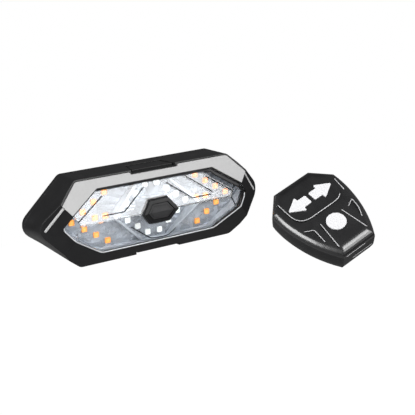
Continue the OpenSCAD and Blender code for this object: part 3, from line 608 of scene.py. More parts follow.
def drawn(corners, step, turn=0.0):
    """Points every step along straight lines between corners; each corner is cut at a distance of turn, with
    a point in between where its arc would pass."""
    corners = np.asarray(corners, float)
    arc_share = 0.29
    if turn > 0 and len(corners) > 2:
        inner = corners[1:-1]
        before = unit(corners[:-2] - inner) * turn
        after = unit(corners[2:] - inner) * turn
        bends = np.stack([inner + before, inner + arc_share * (before + after), inner + after], 1)
        corners = np.concatenate([corners[:1], bends.reshape(-1, 2), corners[-1:]])
    lengths = np.concatenate([[0.0], np.cumsum(np.linalg.norm(np.diff(corners, axis=0), axis=1))])
    places = np.linspace(0.0, lengths[-1], max(int(lengths[-1] / step), 2) + 1)
    return np.stack([np.interp(places, lengths, corners[:, k]) for k in range(2)], -1)


def slope(height, rake):
    """Depth of a face that leans back by its rake, above and below its ridge: |height| tan(rake)."""
    return np.abs(height) * math.tan(math.radians(rake))


def roof(places, start, rake):
    """Depth of a front that slopes back from its ridge and past each hip:
    start + max(|z| tan(rake), (|x| - half ridge) tan(end rake), 0)."""
    past = (np.abs(places[:, 0]) - HALF_RIDGE) * math.tan(math.radians(END_RAKE))
    return start + np.maximum(np.maximum(slope(places[:, 1], rake), past), 0.0)


def cord(path, facing, half_width, half_height, closed=False, columns=12):
    """Points and faces of a cord with an oval section along a path: P(s, t) = path(s) + a cos(t) side(s) +
    b sin(t) out(s). An open cord narrows to a point at each end."""
    facing = np.asarray(facing, float)
    around = np.roll(path, -1, 0) - np.roll(path, 1, 0)
    along = unit(around if closed else np.gradient(path, axis=0))
    out = unit(facing - along * np.sum(facing * along, -1, keepdims=True))
    side = np.cross(out, along)
    t = np.linspace(0.0, 2 * np.pi, columns, endpoint=False)
    wide = half_width * np.cos(t)[None, :, None] * side[:, None]
    section = wide + half_height * np.sin(t)[None, :, None] * out[:, None]
    if not closed:
        ends = np.zeros((1, columns, 3))
        section = np.concatenate([ends, section, ends])
        path = np.concatenate([path[:1], path, path[-1:]])
    points = path[:, None] + section
    return points, outward(points, grid_faces(len(path), columns, loop=closed))


# Lamp pieces

def chevron(tip, run, rise):
    """Places of seven LEDs in a V: its tip, and three steps of a run and a rise on either side."""
    k = np.array([0, 1, 1, 2, 2, 3, 3])
    up = np.array([0, 1, -1, 1, -1, 1, -1])
    return np.stack([tip - k * run, up * k * rise], -1)


def arrow_places(side):
    """Places of an arrow's LEDs: a V, and two in its shaft."""
    arms = chevron(tip=38.9, run=5.33, rise=3.63) * (side, 1)
    shaft = np.stack([side * np.array([28.1, 23.1]), np.zeros(2)], -1)
    return np.concatenate([arms, shaft])


def ring_places():
    """Places of the white LEDs: a V on each side of the button."""
    arm = chevron(tip=17.4, run=4.8, rise=3.67)
    return np.concatenate([arm, arm * (-1, 1)])


def chips(places, side):
    """LED packages: rings of a rounded square, |a|^9 + |b|^9 = 1, stepped from the board to the rim, into the
    window and up to its crown. Gives points, faces, material numbers and how near each point is to the
    core."""
    # Share of the half side, and of the height, at each ring
    steps = np.array([(0.0, 0.0), (1.0, 0.0), (1.0, 0.84), (0.96, 0.97),
                      (0.9, 1.0), (0.86, 0.9), (0.55, 0.96), (0.0, 1.0)])
    window = 0.86
    t = np.linspace(0.0, 2 * np.pi, 28, endpoint=False)
    square = np.stack([np.cos(t), np.sin(t)], -1)
    square = square / (np.abs(square) ** 9).sum(-1, keepdims=True) ** (1 / 9)
    ring = steps[:, None, :1] * square[None] * side / 2
    depth = BOARD_DEPTH + (CHIP_DEPTH - BOARD_DEPTH) * steps[:, 1]
    points = in_lamp(places[:, None, None] + ring[None], depth[None, :, None])
    one = outward(points[0], grid_faces(len(steps), len(t)))
    faces = repeated(one, len(places), len(steps) * len(t))
    slots = np.tile(np.repeat(np.arange(len(steps) - 1) >= 1, len(t)), len(places))
    core = (1.0 - steps[:, 0] / window).clip(0.0, 1.0)
    return points, faces, slots, np.broadcast_to(core[None, :, None], points.shape[:-1])


def light_tray():
    """Faceted reflector round the collar: P(s, t) drops along a sleeve from under the lens and runs from the
    collar's outline to the opening's, on a coarse grid whose depth steps by sin(12.9 i + 78.2 j), so that
    each flat facet leans its own way; a second sheet behind it closes it."""
    sleeve_top, front_depth, back_depth, facet = 6.5, 13.2, 13.47, 0.17
    rows = 8
    collar = outline(inset(COLLAR, -0.3), 10)
    sleeve = outline(inset(COLLAR, -0.5), 10)
    turn = np.arctan2(sleeve[:, 1], sleeve[:, 0])
    dense = outline(inset(OPENING, 1.0), 40)
    apart = np.arctan2(dense[:, 1], dense[:, 0])[None] - turn[:, None]
    edge = dense[np.argmin(np.abs(np.angle(np.exp(1j * apart))), 1)]
    s = np.linspace(0.0, 1.0, rows)[:, None, None]
    flat = sleeve[None] * (1 - s) + edge[None] * s
    i, j = np.meshgrid(np.arange(rows), np.arange(len(turn)), indexing="ij")
    front = in_lamp(flat, front_depth + np.sin(12.9 * i + 78.2 * j) * facet)
    flat[0] = collar
    back = in_lamp(flat, back_depth)
    top = sleeve_top + slope(sleeve[:, 1], LENS_RAKE)
    outside, inside = (in_lamp(ring, top)[None] for ring in (sleeve, collar))
    points = np.concatenate([outside, front, back[::-1], inside])
    return points, outward(points, grid_faces(len(points), len(turn), loop=True))


def lens_lines(width):
    """Dark lines on the outside of the lens, each a thin cord that follows the lens's own slopes."""
    runs = [[(17.2, 2.65), (5.5, 11.3)], [(-17.2, 2.65), (-5.5, 11.3)], [(17.4, 2.7), (27.0, 2.7)],
            [(-17.4, 2.7), (-27.0, 2.7)], [(26.0, 10.7), (38.9, 2.0)], [(-26.0, 10.7), (-38.9, 2.0)],
            [(28.3, 3.3), (15.5, 12.7)],
            [(-14.1, -5.2), (-3.4, -13.3), (1.6, -13.9), (6.0, -13.6), (9.3, -10.6)]]
    parts = []
    for run in runs:
        path = drawn(run, step=0.8, turn=0.9)
        points = in_lamp(path, roof(path, LENS_DEPTH, LENS_RAKE))
        lean = np.stack([np.zeros(len(path)), -np.ones(len(path)), np.sign(path[:, 1]) * 0.36], -1)
        parts.append(cord(points, lean, half_width=width / 2, half_height=0.05 * MM))
    return joined(parts)


def collar_gasket():
    """Bead that closes the gap between the collar and the lens: a closed cord round the collar, deep and
    narrow."""
    middle_depth = 4.75
    path = outline(inset(COLLAR, -0.22), 10)
    points = in_lamp(path, middle_depth + slope(path[:, 1], LENS_RAKE))
    return cord(points, FORWARD, half_width=0.22 * MM, half_height=1.15 * MM, closed=True, columns=16)


def lens_highlight_rim():
    """Pale bead round the lens opening, its pale colour a painted highlight along the lens edge: a closed
    cord whose depth below the front runs from 0.35 mm at the lower edge to 2.7 mm at the upper one."""
    start = (0.0, -14.3)
    ring = np.array([start, *np.roll(inset(OPENING, 0.25), -5, 0), start])
    path = drawn(ring, step=0.5, turn=1.4)[:-1]
    below = np.interp(path[:, 1], [-14.5, -2.0, 5.0, 14.5], [0.35, 0.5, 2.4, 2.7])
    points = in_lamp(path, roof(path, 0.0, FRONT_RAKE) + below)
    return cord(points, FORWARD, half_width=0.26 * MM, half_height=0.2 * MM, closed=True)


def lens_shadow_lip():
    """Painted shadow: a black lip along the top and the right end of the lens opening, where the recess
    wall's shade falls, an open cord that lies flat on the front and inside its path, 0.6 mm wide at its
    start, 2.2 mm along the end and 1 mm at its tip."""
    lip_depth = 0.9
    path = drawn([(-28.6, 14.3), (28.4, 14.3), (41.2, 5.8), (45.2, 0.8)], step=0.5, turn=1.0)
    x = path[:, 0]
    half = np.interp(x, [-28.6, 24.0, 31.0, 40.0, 45.2], [0.3, 0.42, 1.1, 1.1, 0.5])
    bends = [24.0, 31.0, 45.2]
    across = np.stack([np.interp(x, bends, [0.0, -0.6, -0.75]), np.interp(x, bends, [-1.0, -0.8, -0.66])], -1)
    path = path + across * half[:, None]
    points = in_lamp(path, roof(path, lip_depth, FRONT_RAKE))
    half_width = half[:, None, None] * MM
    return cord(points, (0.0, -0.91, 0.41), half_width, half_height=0.3 * MM, columns=16)


def recess_ledges():
    """Ledge on the floor of the top and the bottom recess: rings of a four-sided outline from the floor up,
    drawn in at the rounded edge and closed to the middle; its top falls by a share of its depth."""
    fall, fall_start = 0.05, 8.0
    corners = outline([(-10.1, 9.8), (10.1, 9.8), (8.2, 19.0), (-8.2, 19.0)], 8)
    middle = corners.mean(0)
    rings = np.stack([middle + (corners - middle) * share for share in (0.0, 1.0, 1.0, 0.993, 0.975, 0.0)])
    drop = np.array((1.6, 1.6, 0.55, 0.35, 0.25, 0.25))[:, None]
    x, depth = rings[..., 0], rings[..., 1]
    level = HALF_HEIGHT - fall * (depth - fall_start) - drop
    parts = []
    for side in (1.0, -1.0):
        points = in_lamp(np.stack([x, side * level], -1), depth)
        parts.append((points, outward(points, grid_faces(len(rings), len(corners)))))
    return joined(parts)


def end_highlight_strips():
    """Painted highlight along the upper edge of each end of the front: a pale strip, a flat cord on the edge
    of the outline.
    """
    sunk = 0.1
    parts = []
    for side in (-1.0, 1.0):
        path = drawn([(side * 45.1, 9.6), (side * 52.7, -0.4)], step=0.6)
        points = in_lamp(path, roof(path, 0.0, FRONT_RAKE) + sunk)
        facing = (side * 0.55, -0.75, 0.3)
        parts.append(cord(points, facing, half_width=0.6 * MM, half_height=0.3 * MM, columns=16))
    return joined(parts)


def button_cap():
    """Six-sided button on a round stem: rings of the inset outline, from the stem's end to the crown, with a
    groove round the face; depth = face + |z| tan(rake) + step."""
    face_depth, crown_step, rake = 3.1, 0.12, 16.0
    stem_radius, stem_top, stem_end = 1.6, 7.3, 10.1
    insets = (1.75, 1.78, 1.88, 2.05, 2.45, 2.5, 2.72, 2.78, 3.2, 4.2)
    steps = np.array([0.35, 0.16, 0.04, 0.0, 0.0, 0.22, 0.22, 0.0, 0.05, 0.09])
    face = np.stack([outline(inset(COLLAR, edge), 8) for edge in insets])
    rim = face[0]
    stem = stem_radius * unit(rim)
    middle = np.zeros_like(rim)
    under = ((middle, stem_end), (stem, stem_end), (stem, stem_top), (rim, stem_top))
    rows = np.stack([in_lamp(ring, depth) for ring, depth in under])
    front = in_lamp(face, face_depth + slope(face[..., 1], rake) + steps[:, None])
    crown = in_lamp(middle, face_depth + crown_step)
    points = np.concatenate([rows, front, crown[None]])
    return points, outward(points, grid_faces(len(points), len(rim)))


def screws(centres, turn, whole):
    """Pan-head screws of a whole length, with a cross recess. P(r, t): a dome of r, less the cross, where the
    nearer of |r cos t| and |r sin t| is small; then the rim, the shank and its tip. Centres are of the drive
    faces, in millimetres."""
    head, head_height, shank, tip = 2.0, 1.5, 1.0, 0.4
    slot_half, slot_flank, slot_reach, slot_depth = 0.2 * head, 0.09 * head, 0.63 * head, 0.75
    t = np.linspace(0.0, 2 * np.pi, 48, endpoint=False)
    dome = np.array([0.0, 0.1, 0.2, 0.3, 0.4, 0.5, 0.58, 0.64, 0.8, 0.93, 1.0, 1.0]) * head
    fall = [0.0, -0.01, -0.03, -0.05, -0.08, -0.12, -0.16, -0.19, -0.3, -0.45, -0.7, -head_height]
    end = -whole
    across = np.concatenate([dome, [shank, shank, shank * 0.5, 0.0]])
    height = np.concatenate([fall, [-head_height, end + tip, end, end]])
    a = across[:, None] * np.cos(t)
    b = across[:, None] * np.sin(t)
    near = np.minimum(np.abs(a), np.abs(b))
    cross = ((slot_half - near) / slot_flank).clip(0.0, 1.0) * (across < slot_reach)[:, None]
    local = np.stack([a, b, height[:, None] - slot_depth * cross], -1)
    local[len(dome):, :, 2] = height[len(dome):, None]
    one = outward(local, grid_faces(len(across), len(t)))
    points = (local @ turn.T)[None] + np.asarray(centres, float)[:, None, None]
    return points * MM, repeated(one, len(centres), len(across) * len(t))


def saddle_ribs():
    """Curved pad of the saddle: a closed section, an inner arc and an outer arc, carried along the seat post;
    the inner arc is pushed outwards by grooves, groove x (1.6 cos(2 pi s / pitch) + 0.5) kept within 0 and
    1, and both ends close on the middle arc. Rows go along s, and columns round the section."""
    inner, outer, half_length = 13.6, 15.1, 13.0
    pitch, groove, rows_per_pitch, columns = 2.6, 0.55, 12, 32
    inner_spread, outer_spread, facing = 64.0, 66.7, -90.0
    s = np.linspace(-half_length, half_length, int(2 * half_length / pitch * rows_per_pitch) + 1)
    wave = (1.6 * np.cos(2 * np.pi * s / pitch) + 0.5).clip(0.0, 1.0)
    near = np.repeat((inner + groove * wave)[:, None], columns, 1)
    section = np.concatenate([near, np.full_like(near, outer)], 1)
    middle = np.full((1, 2 * columns), (inner + outer) / 2)
    radius = np.concatenate([middle, section, middle])
    s = np.broadcast_to(np.concatenate([s[:1], s, s[-1:]])[:, None], radius.shape)
    share = np.linspace(0.0, 1.0, columns)
    share = np.concatenate([share, share[::-1]])
    spread = np.interp(radius, [inner, outer], [inner_spread, outer_spread])
    turn = np.radians(facing + spread * (2.0 * share - 1.0))
    points = np.stack([radius * np.cos(turn), radius * np.sin(turn), s], -1) * MM
    return points, outward(points, grid_faces(*radius.shape))


# Remote pieces

def cut_copy(node, name, cell):
    """Copy of a carried-over solid's mesh, merged and cut until no edge is longer than a cell."""
    most_cuts = 9
    work = bmesh.new()
    work.from_mesh(NODES[node].data)
    bmesh.ops.remove_doubles(work, verts=work.verts, dist=0.001 * MM)
    for _ in range(most_cuts):
        long = [edge for edge in work.edges if edge.calc_length() > cell]
        if not long:
            break
        bmesh.ops.subdivide_edges(work, edges=long, cuts=1)
        bmesh.ops.triangulate(work, faces=[face for face in work.faces if len(face.verts) > 3])
    mesh = bpy.data.meshes.new(name)
    work.to_mesh(mesh)
    work.free()
    return mesh


def rolled_shell(node, width, height, cell):
    """Copy of a shell, merged and cut into cells, whose face is held under a quarter ellipse at its outline:
    z <= -height (1 - sqrt(1 - (1 - e / width)^2)), with e the distance from the nearest edge of the outline.
    The attribute "rolled" goes from 0 on the face to 1 on the roll, and starts nearer the face at the end."""
    shortest_edge, end_facing = 0.1, 0.9
    side_start, end_start, coat_span = 0.35, 0.0, 0.3
    mesh = cut_copy(node, node + "_rolled", cell)
    local = own_remote(mesh_points(mesh))
    hull = local[geometry.convex_hull_2d(local[:, :2].tolist())][:, :2]
    along = np.roll(hull, -1, 0) - hull
    whole = np.linalg.norm(along, axis=1) > shortest_edge
    hull, along = hull[whole], unit(along[whole])
    inward = np.stack([-along[:, 1], along[:, 0]], -1)
    away = np.abs(((local[:, None, :2] - hull[None]) * inward[None]).sum(-1))
    at_end = inward[away.argmin(1), 1] > end_facing
    share = (1.0 - away.min(1) / width).clip(0.0, 1.0)
    local[:, 2] = np.minimum(local[:, 2], -height * (1.0 - np.sqrt(1.0 - share ** 2)))
    mesh.vertices.foreach_set("co", in_remote(local[:, :2], local[:, 2]).ravel())
    coat = ((share - np.where(at_end, end_start, side_start)) / coat_span).clip(0.0, 1.0)
    coat = coat ** 2 * (3.0 - 2.0 * coat)
    mesh.attributes.new("rolled", "FLOAT", "POINT").data.foreach_set("value", coat.astype(np.float32))
    mesh.update()
    piece = bpy.data.objects.new(node + "_rolled", mesh)
    bpy.context.scene.collection.objects.link(piece)
    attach(piece, "remote")
    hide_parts(node)
    soften(piece, 35.0)
    return piece


def face_highlight_lines(width):
    """Painted highlights on the remote's edges, pale lines each a thin cord: the plateau's edge, the panel's
    edges, two sides of the left hollow and three of the right, the right edge and two seams of the end."""
    swoosh = [(-13.3, 14.6), (-13.3, 5.0), (-11.8, 1.5), (-8.3, 0.0), (8.3, 0.0), (10.6, 0.7), (11.6, 1.6)]
    left_hollow = [(-13.9, -3.5), (-10.0, -5.6), (-10.7, -13.0)]
    right_hollow = [(10.0, -5.6), (13.9, -3.5), (13.0, -8.6), (10.7, -13.3)]
    down = -REMOTE_TURN[:, 1]
    # Corners, level out of the face, cut of the corners, and the side that the line faces
    runs = [(swoosh, 0.0, 1.6, REMOTE_OUT),
            ([(-6.1, -5.2), (-8.1, -19.0)], 0.0, 0.0, REMOTE_OUT),
            ([(6.1, -5.2), (8.1, -19.0)], 0.0, 0.0, REMOTE_OUT),
            (left_hollow, -0.5, 0.5, REMOTE_OUT),
            (right_hollow, -0.5, 0.5, REMOTE_OUT),
            ([(15.8, 9.7), (14.9, 2.4)], -0.48, 0.0, REMOTE_OUT),
            ([(-7.6, -23.2), (3.4, -23.2)], -3.5, 0.0, down),
            ([(-3.4, -23.06), (7.8, -23.06)], -8.2, 0.0, down)]
    parts = []
    for corners, level, turn, facing in runs:
        points = in_remote(drawn(corners, 0.5, turn), level)
        parts.append(cord(points, facing, half_width=width / 2, half_height=0.06 * MM))
    return joined(parts)


# Settings

class LampLooks(bpy.types.PropertyGroup):
    """Sizes and colours of the lamp."""
    edge: FloatProperty(name="Edge", description="Radius of the housing's edges",
                        default=0.3 * MM, unit="LENGTH")
    fine_edge: FloatProperty(name="Fine edge", description="Radius of the edges of small pieces",
                             default=0.18 * MM, unit="LENGTH")
    chip_side: FloatProperty(name="Chip", description="Side of an LED", default=2.6 * MM, unit="LENGTH")
    line_width: FloatProperty(name="Lens line", description="Width of the dark lines on the lens",
                              default=0.5 * MM, unit="LENGTH")
    housing_colour: FloatVectorProperty(name="Housing", description="Colour of the housing", subtype="COLOR",
                                        default=(0.010, 0.010, 0.011))
    collar_colour: FloatVectorProperty(name="Collar", description="Colour of the button's collar",
                                       subtype="COLOR", default=(0.008, 0.008, 0.009))
    button_colour: FloatVectorProperty(name="Button", description="Colour of the mode button",
                                       subtype="COLOR", default=(0.035, 0.035, 0.037))
    rubber_colour: FloatVectorProperty(name="Rubber", description="Colour of pads, seals and flap",
                                       subtype="COLOR", default=(0.028, 0.028, 0.029))
    trim_colour: FloatVectorProperty(name="Trim", description="Colour of the silver trim", subtype="COLOR",
                                     default=(0.55, 0.55, 0.55))
    lens_tint: FloatVectorProperty(name="Lens", description="Tint of the lens", subtype="COLOR",
                                   default=(0.96, 0.98, 1.0))
    partition_colour: FloatVectorProperty(name="Partition", description="Colour of the light partition",
                                          subtype="COLOR", default=(0.46, 0.48, 0.51))
    seal_colour: FloatVectorProperty(name="Seal", description="Colour of the lens seal", subtype="COLOR",
                                     default=(0.42, 0.44, 0.47))
    tray_colour: FloatVectorProperty(name="Reflector", description="Colour of the plated reflector",
                                     subtype="COLOR", default=(0.34, 0.36, 0.39))
    board_colour: FloatVectorProperty(name="Board", description="Colour of the LED board", subtype="COLOR",
                                      default=(0.62, 0.66, 0.72))
    amber_colour: FloatVectorProperty(name="Amber", description="Colour of the arrows' LEDs", subtype="COLOR",
                                      default=(1.0, 0.33, 0.025))
    amber_core: FloatVectorProperty(name="Amber core", description="Colour at the middle of an arrow's LED",
                                    subtype="COLOR", default=(1.0, 0.5, 0.1))
    # Painted glow of the arrows' LEDs, lifting them out of the shade inside the housing
    amber_painted_glow: FloatProperty(name="Amber glow", description="Own light of the arrows' LEDs", default=0.3)
    white_colour: FloatVectorProperty(name="White", description="Colour of the ring's LEDs", subtype="COLOR",
                                      default=(0.92, 0.93, 0.9))
    white_core: FloatVectorProperty(name="White core", description="Colour at the middle of a ring's LED",
                                    subtype="COLOR", default=(1.0, 0.98, 0.9))
    # Painted glow of the ring's LEDs, lifting them out of the shade inside the housing
    white_painted_glow: FloatProperty(name="White glow", description="Own light of the ring's LEDs", default=0.3)


class RemoteLooks(bpy.types.PropertyGroup):
    """Sizes and colours of the remote."""
    roll_width: FloatProperty(name="Roll width", description="Width of the roll round the remote's face",
                              default=4.4 * MM, unit="LENGTH")
    roll_height: FloatProperty(name="Roll height", description="Depth of the roll round the remote's face",
                               default=3.2 * MM, unit="LENGTH")
    # Width of the pale lines that paint highlights on the face's edges
    line_width: FloatProperty(name="Line width", description="Width of the pale lines on the face",
                              default=0.36 * MM, unit="LENGTH")
    shell_colour: FloatVectorProperty(name="Shell", description="Colour of the remote's shells",
                                      subtype="COLOR", default=(0.006, 0.006, 0.007))
    key_colour: FloatVectorProperty(name="Keys", description="Colour of the keys", subtype="COLOR",
                                    default=(0.9, 0.9, 0.92))
    # Colour of the pale lines that paint highlights on the face's edges
    highlight_line_colour: FloatVectorProperty(name="Lines", description="Colour of the pale lines on the face",
                                     subtype="COLOR", default=(0.62, 0.62, 0.63))
    base_colour: FloatVectorProperty(name="Base", description="Colour of the strap base", subtype="COLOR",
                                     default=(0.03, 0.03, 0.032))


class StageLooks(bpy.types.PropertyGroup):
    """Floor and light levels."""
    floor_drop: FloatProperty(name="Floor", description="Depth of the floor under the seat post's middle",
                              default=0.12, unit="LENGTH")
    floor_radius: FloatProperty(name="Floor radius", description="Radius of the floor",
                                default=0.3, unit="LENGTH")
    key_level: FloatProperty(name="Front light", description="Brightness of the front softbox", default=6.4)
    side_light: FloatProperty(name="Side light", description="Brightness of the side light", default=4.3)
    card_level: FloatProperty(name="Cards", description="Brightness of the cards in gloss", default=14.0)
    rear_level: FloatProperty(name="Rear light", description="Brightness of the rear light", default=1.8)
    fill_level: FloatProperty(name="Fill", description="Brightness of the surroundings", default=0.5)


# Operators

class LampHousing(bpy.types.Operator):
    """Shells, bracket, collar, partition, seals and trim of the lamp, the front's ledges, and its painted
    pieces: pale strips that paint the ends' edge highlights, a pale bead that paints the lens edge's
    highlight and a black lip that paints the recess's shadow
    """
    bl_idname = "signal_lamp.housing"
    bl_label = "Dress the housing"

    def execute(self, context):
        black = housing_black(context)
        for node in ("front_housing", "back_cover", "mount_bracket"):
            dress(node, black)
        dress("button_collar", collar_black(context))
        dress("light_partition", partition_pale(context))
        dress("lens_seal", seal_silicone(context))
        dress("back_seal", soft_rubber(context))
        dress("silver_trim", trim_silver(context))
        # Pale strips that paint the highlight on the upper edge of each end
        add_piece("end_highlight_strips", *end_highlight_strips(), [trim_silver(context)], "root", "trim_silver")
        # Bead whose pale colour paints the highlight along the lens edge
        add_piece("lens_highlight_rim", *lens_highlight_rim(), [rim_highlight_bead(context)], "root", "seal_silicone")
        # Black lip that paints the shadow along the top and the right end of the lens opening
        add_piece("lens_shadow_lip", *lens_shadow_lip(), [collar_black(context)], "root", "body_black")
        add_piece("recess_ledges", *recess_ledges(), [black], "root", "body_black", smooth=False)
        return {"FINISHED"}


class LampLights(bpy.types.Operator):
    """Lens and its lines, board, LEDs, reflector, the collar's gasket and the switch"""
    bl_idname = "signal_lamp.lights"
    bl_label = "Dress the lights"

    def execute(self, context):
        looks = context.scene.lamp_looks
        dress("lens", lens_clear(context))
        dress("led_board", board_white(context))
        dress("mode_switch", steel(context))
        groups = (("amber_leds_left", arrow_places(-1.0), led_amber, "led_amber"),
                  ("amber_leds_right", arrow_places(1.0), led_amber, "led_amber"),
                  ("white_leds", ring_places(), led_white, "led_white"))
        for node, places, resin, slot in groups:
            points, faces, slots, core = chips(places, looks.chip_side / MM)
            finishes = [chip_case(context), resin(context)]
            add_piece(node + "_packages", points, faces, finishes, "root", slot, (node,), slots, core=core)
        add_piece("light_tray", *light_tray(), [reflector(context)], "root", "board_white", smooth=False)
        add_piece("lens_lines", *lens_lines(looks.line_width), [lens_ink(context)], "root", "collar_black")
        add_piece("collar_gasket", *collar_gasket(), [soft_rubber(context)], "root", "seal_rubber")
        return {"FINISHED"}


class LampButton(bpy.types.Operator):
    """Mode button"""
    bl_idname = "signal_lamp.button"
    bl_label = "Dress the mode button"

    def execute(self, context):
        cap = add_piece("mode_button_cap", *button_cap(), [button_rubber(context)], "mode_button",
                        "button_rubber", ("mode_button",), smooth=False)
        edge = cap.modifiers.new("Soft edges", "BEVEL")
        edge.width = 0.05 * MM
        edge.segments = 2
        return {"FINISHED"}


class LampPower(bpy.types.Operator):
    """Battery, charging socket and its flap"""
    bl_idname = "signal_lamp.power"
    bl_label = "Dress the power pieces"

    def execute(self, context):
        dress("battery", battery_film(context))
        dress("usb_socket", steel(context))
        dress("port_flap", soft_rubber(context))
        return {"FINISHED"}


class LampSaddle(bpy.types.Operator):
    """Screws and pads"""
    bl_idname = "signal_lamp.saddle"
    bl_label = "Dress the screws and pads"

    def execute(self, context):
        rear = np.array(((0.0, 1.0, 0.0), (0.0, 0.0, 1.0), (1.0, 0.0, 0.0)))
        for node, (x, z) in (("back_screws", BACK_SCREWS), ("bracket_screws", BRACKET_SCREWS)):
            low, high = (corner[1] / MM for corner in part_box(node))
            centres = [(a * x, high, b * z) for a in (-1, 1) for b in (-1, 1)]
            points, faces = screws(centres, rear, high - low)
            add_piece(node + "_cross", points, faces, [steel(context)], "root", "screw_steel", (node,))
        levels = own_remote(mesh_points(NODES["remote_screws"].data))[:, 2]
        low, high = levels.min(), levels.max()
        under = REMOTE_TURN @ np.diag((1.0, -1.0, -1.0))
        points, faces = screws(in_remote(REMOTE_SCREWS, low) / MM, under, high - low)
        add_piece("remote_screws_cross", points, faces, [steel(context)], "remote", "screw_steel",
                  ("remote_screws",))
        add_piece("saddle_pad_ribs", *saddle_ribs(), [soft_rubber(context)], "root", "pad_rubber",
                  ("saddle_pad",))
        dress("bar_pad", soft_rubber(context))
        return {"FINISHED"}


class RemoteBody(bpy.types.Operator):
    """Shells, base, painted highlight lines on the face and what lies inside the remote"""
    bl_idname = "signal_remote.body"
    bl_label = "Dress the remote"

    def execute(self, context):
        looks = context.scene.remote_looks
        shell = rolled_shell("remote_top_shell", looks.roll_width / MM, looks.roll_height / MM, cell=0.6 * MM)
        shell.data.materials.append(remote_gloss(context))
        # Pale cords that paint the highlights of the face's edges and the end's seams
        add_piece("face_highlight_lines", *face_highlight_lines(looks.line_width), [edge_highlight_paint(context)], "remote", "key_white")
        for node in ("remote_bottom_shell", "pilot_light"):
            dress(node, remote_gloss(context))
        for node in ("remote_switches", "coin_cell"):
            dress(node, steel(context))
        dress("strap_base", base_grey(context))
        dress("key_membrane", membrane_grey(context))
        dress("remote_board", board_green(context))
        dress("cell_clip", clip_brass(context))
        return {"FINISHED"}


class RemoteKeys(bpy.types.Operator):
    """Arrow keys and the round key"""
    bl_idname = "signal_remote.keys"
    bl_label = "Dress the keys"

    def execute(self, context):
        for node in ("left_arrow_key", "right_arrow_key", "round_key"):
            dress(node, key_white(context))
        return {"FINISHED"}


def softbox(name, azimuth, elevation, width, height, level, lights=True, mirrored=True):
    """Area light that faces the origin from an azimuth and elevation; its power is level x pi x its area. It
    lights plain surfaces, is mirrored in glossy ones, or both."""
    a, e = math.radians(azimuth), math.radians(elevation)
    place = Vector((math.sin(a) * math.cos(e), -math.cos(a) * math.cos(e), math.sin(e))) * LIGHT_DISTANCE
    data = bpy.data.lights.new(name, "AREA")
    data.shape = "RECTANGLE"
    data.size = width
    data.size_y = height
    data.energy = level * math.pi * width * height
    lamp = bpy.data.objects.new(name, data)
    lamp.location = place
    lamp.rotation_euler = (-place).to_track_quat("-Z", "Y").to_euler()
    lamp.visible_diffuse = lights
    lamp.visible_glossy = mirrored
    bpy.context.scene.collection.objects.link(lamp)


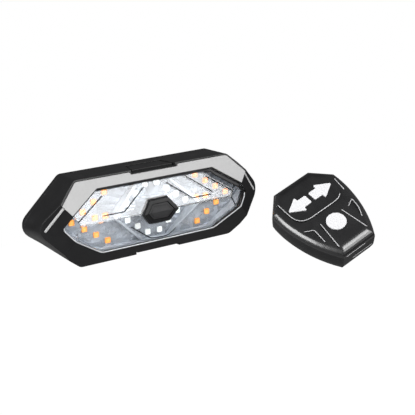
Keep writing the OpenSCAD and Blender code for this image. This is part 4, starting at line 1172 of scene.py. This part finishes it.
class SignalStage(bpy.types.Operator):
    """Floor, surroundings, softboxes and camera"""
    bl_idname = "signal_lamp.stage"
    bl_label = "Set the stage"

    def execute(self, context):
        looks = context.scene.stage_looks
        self.floor(looks)
        self.surroundings(context, looks)
        softbox("Front softbox", azimuth=26.0, elevation=22.0, width=0.40, height=0.26, level=looks.key_level)
        softbox("Side light", azimuth=-66.0, elevation=36.0, width=0.26, height=0.80, level=looks.side_light,
                mirrored=False)
        softbox("Side card", azimuth=-79.0, elevation=24.0, width=0.48, height=0.56, level=looks.card_level,
                lights=False)
        softbox("End card", azimuth=15.0, elevation=44.0, width=0.26, height=0.36, level=looks.card_level,
                lights=False)
        softbox("Rear light", azimuth=165.0, elevation=52.0, width=0.50, height=0.30, level=looks.rear_level,
                mirrored=False)
        self.camera(context)
        context.scene.view_settings.view_transform = "Standard"
        return {"FINISHED"}

    def floor(self, looks):
        """Round pale floor, a fan of rings; white to the eye, with a trace of the shadow."""
        rings, spokes = 6, 64
        glow_unseen, glow_seen, glow_share = 0.32, 0.74, 0.88
        radii = np.linspace(0.0, looks.floor_radius, rings)
        angles = np.linspace(0.0, 2 * np.pi, spokes, endpoint=False)
        reach, turn = np.meshgrid(radii, angles, indexing="ij")
        level = np.full_like(reach, -looks.floor_drop)
        points = np.stack([reach * np.cos(turn), reach * np.sin(turn), level], -1)
        material, w, shader, _ = blank("pale floor")
        w.feed(shader.inputs, {"Base Color": grey(0.85), "Roughness": 0.8})
        path = w.add("LightPath").outputs
        seen = w.sums("MAXIMUM", path["Is Camera Ray"], path["Is Transmission Ray"])
        strength = w.sums("MULTIPLY_ADD", seen, glow_seen, glow_unseen)
        glow = w.add("Emission", {"Color": grey(1.0), "Strength": strength})
        share = w.sums("MULTIPLY", w.sums("MAXIMUM", seen, path["Is Glossy Ray"]), glow_share)
        mix = w.add("MixShader", {0: share, 1: shader.outputs[0], 2: glow.outputs[0]})
        w.feed(w.tree.nodes["Material Output"].inputs, {"Surface": mix.outputs[0]})
        floor = mesh_object("floor", points, grid_faces(rings, spokes), [material])

    def surroundings(self, context, looks):
        """White to the eye and through glass; to gloss, pale round the horizon, grey overhead, darker below
        and behind."""
        world = bpy.data.worlds.new("studio")
        context.scene.world = world
        world.use_nodes = True
        w = Wires(world.node_tree)
        path = w.add("LightPath").outputs
        toward = w.add("SeparateXYZ", {0: w.add("TexCoord").outputs["Generated"]}).outputs
        ramp = w.add("ValToRGB", {0: w.sums("MULTIPLY_ADD", toward["Z"], 0.5, 0.5)})
        stops = ramp.color_ramp.elements
        for stop, position, level in ((stops[0], 0.40, 0.05), (stops[1], 0.75, 0.3)):
            stop.position = position
            stop.color = grey(level)
        stops.new(0.52).color = grey(0.4)
        front = w.sums("MULTIPLY_ADD", toward["Y"], -0.5, 0.5)
        mirrored = w.blend(front, grey(0.1), ramp.outputs[0])
        unseen = w.blend(path["Is Glossy Ray"], grey(looks.fill_level), mirrored)
        eye = w.sums("MAXIMUM", path["Is Camera Ray"], path["Is Transmission Ray"])
        w.feed(w.tree.nodes["Background"].inputs, {"Color": w.blend(eye, unseen, grey(1.0))})

    def camera(self, context):
        """Camera at the photograph's place, from its right, up and backward directions."""
        data = bpy.data.cameras.new("camera")
        data.sensor_width = SENSOR_WIDTH
        data.lens = SENSOR_WIDTH * FOCAL_PIXELS / FRAME_PIXELS
        data.clip_start = 0.01
        camera = bpy.data.objects.new("camera", data)
        turn = Matrix((CAMERA_RIGHT, CAMERA_UP, CAMERA_BACK)).transposed().to_4x4()
        camera.matrix_world = Matrix.Translation(CAMERA_PLACE) @ turn
        context.scene.collection.objects.link(camera)
        context.scene.camera = camera


class SignalPanel(bpy.types.Panel):
    """Sizes and colours of the lamp, the remote and the stage"""
    bl_idname = "VIEW3D_PT_signal_light"
    bl_label = "Signal light"
    bl_space_type = "VIEW_3D"
    bl_region_type = "UI"
    bl_category = "Signal light"

    def draw(self, context):
        for looks in (context.scene.lamp_looks, context.scene.remote_looks, context.scene.stage_looks):
            box = self.layout.box()
            for key in looks.__annotations__:
                box.prop(looks, key)
        for step in STEPS:
            self.layout.operator(step.bl_idname)


STEPS = (LampHousing, LampLights, LampButton, LampPower, LampSaddle, RemoteBody, RemoteKeys, SignalStage)
SETTINGS = {"lamp_looks": LampLooks, "remote_looks": RemoteLooks, "stage_looks": StageLooks}


def register():
    for cls in (*SETTINGS.values(), *STEPS, SignalPanel):
        bpy.utils.register_class(cls)
    for key, cls in SETTINGS.items():
        setattr(bpy.types.Scene, key, PointerProperty(type=cls))


def unregister():
    for key in SETTINGS:
        delattr(bpy.types.Scene, key)
    for cls in reversed((*SETTINGS.values(), *STEPS, SignalPanel)):
        bpy.utils.unregister_class(cls)


def main():
    register()
    bpy.ops.signal_lamp.stage()
    bpy.ops.signal_lamp.housing()
    bpy.ops.signal_lamp.lights()
    bpy.ops.signal_lamp.button()
    bpy.ops.signal_lamp.power()
    bpy.ops.signal_lamp.saddle()
    bpy.ops.signal_remote.body()
    bpy.ops.signal_remote.keys()


if __name__ == "__main__":
    main()
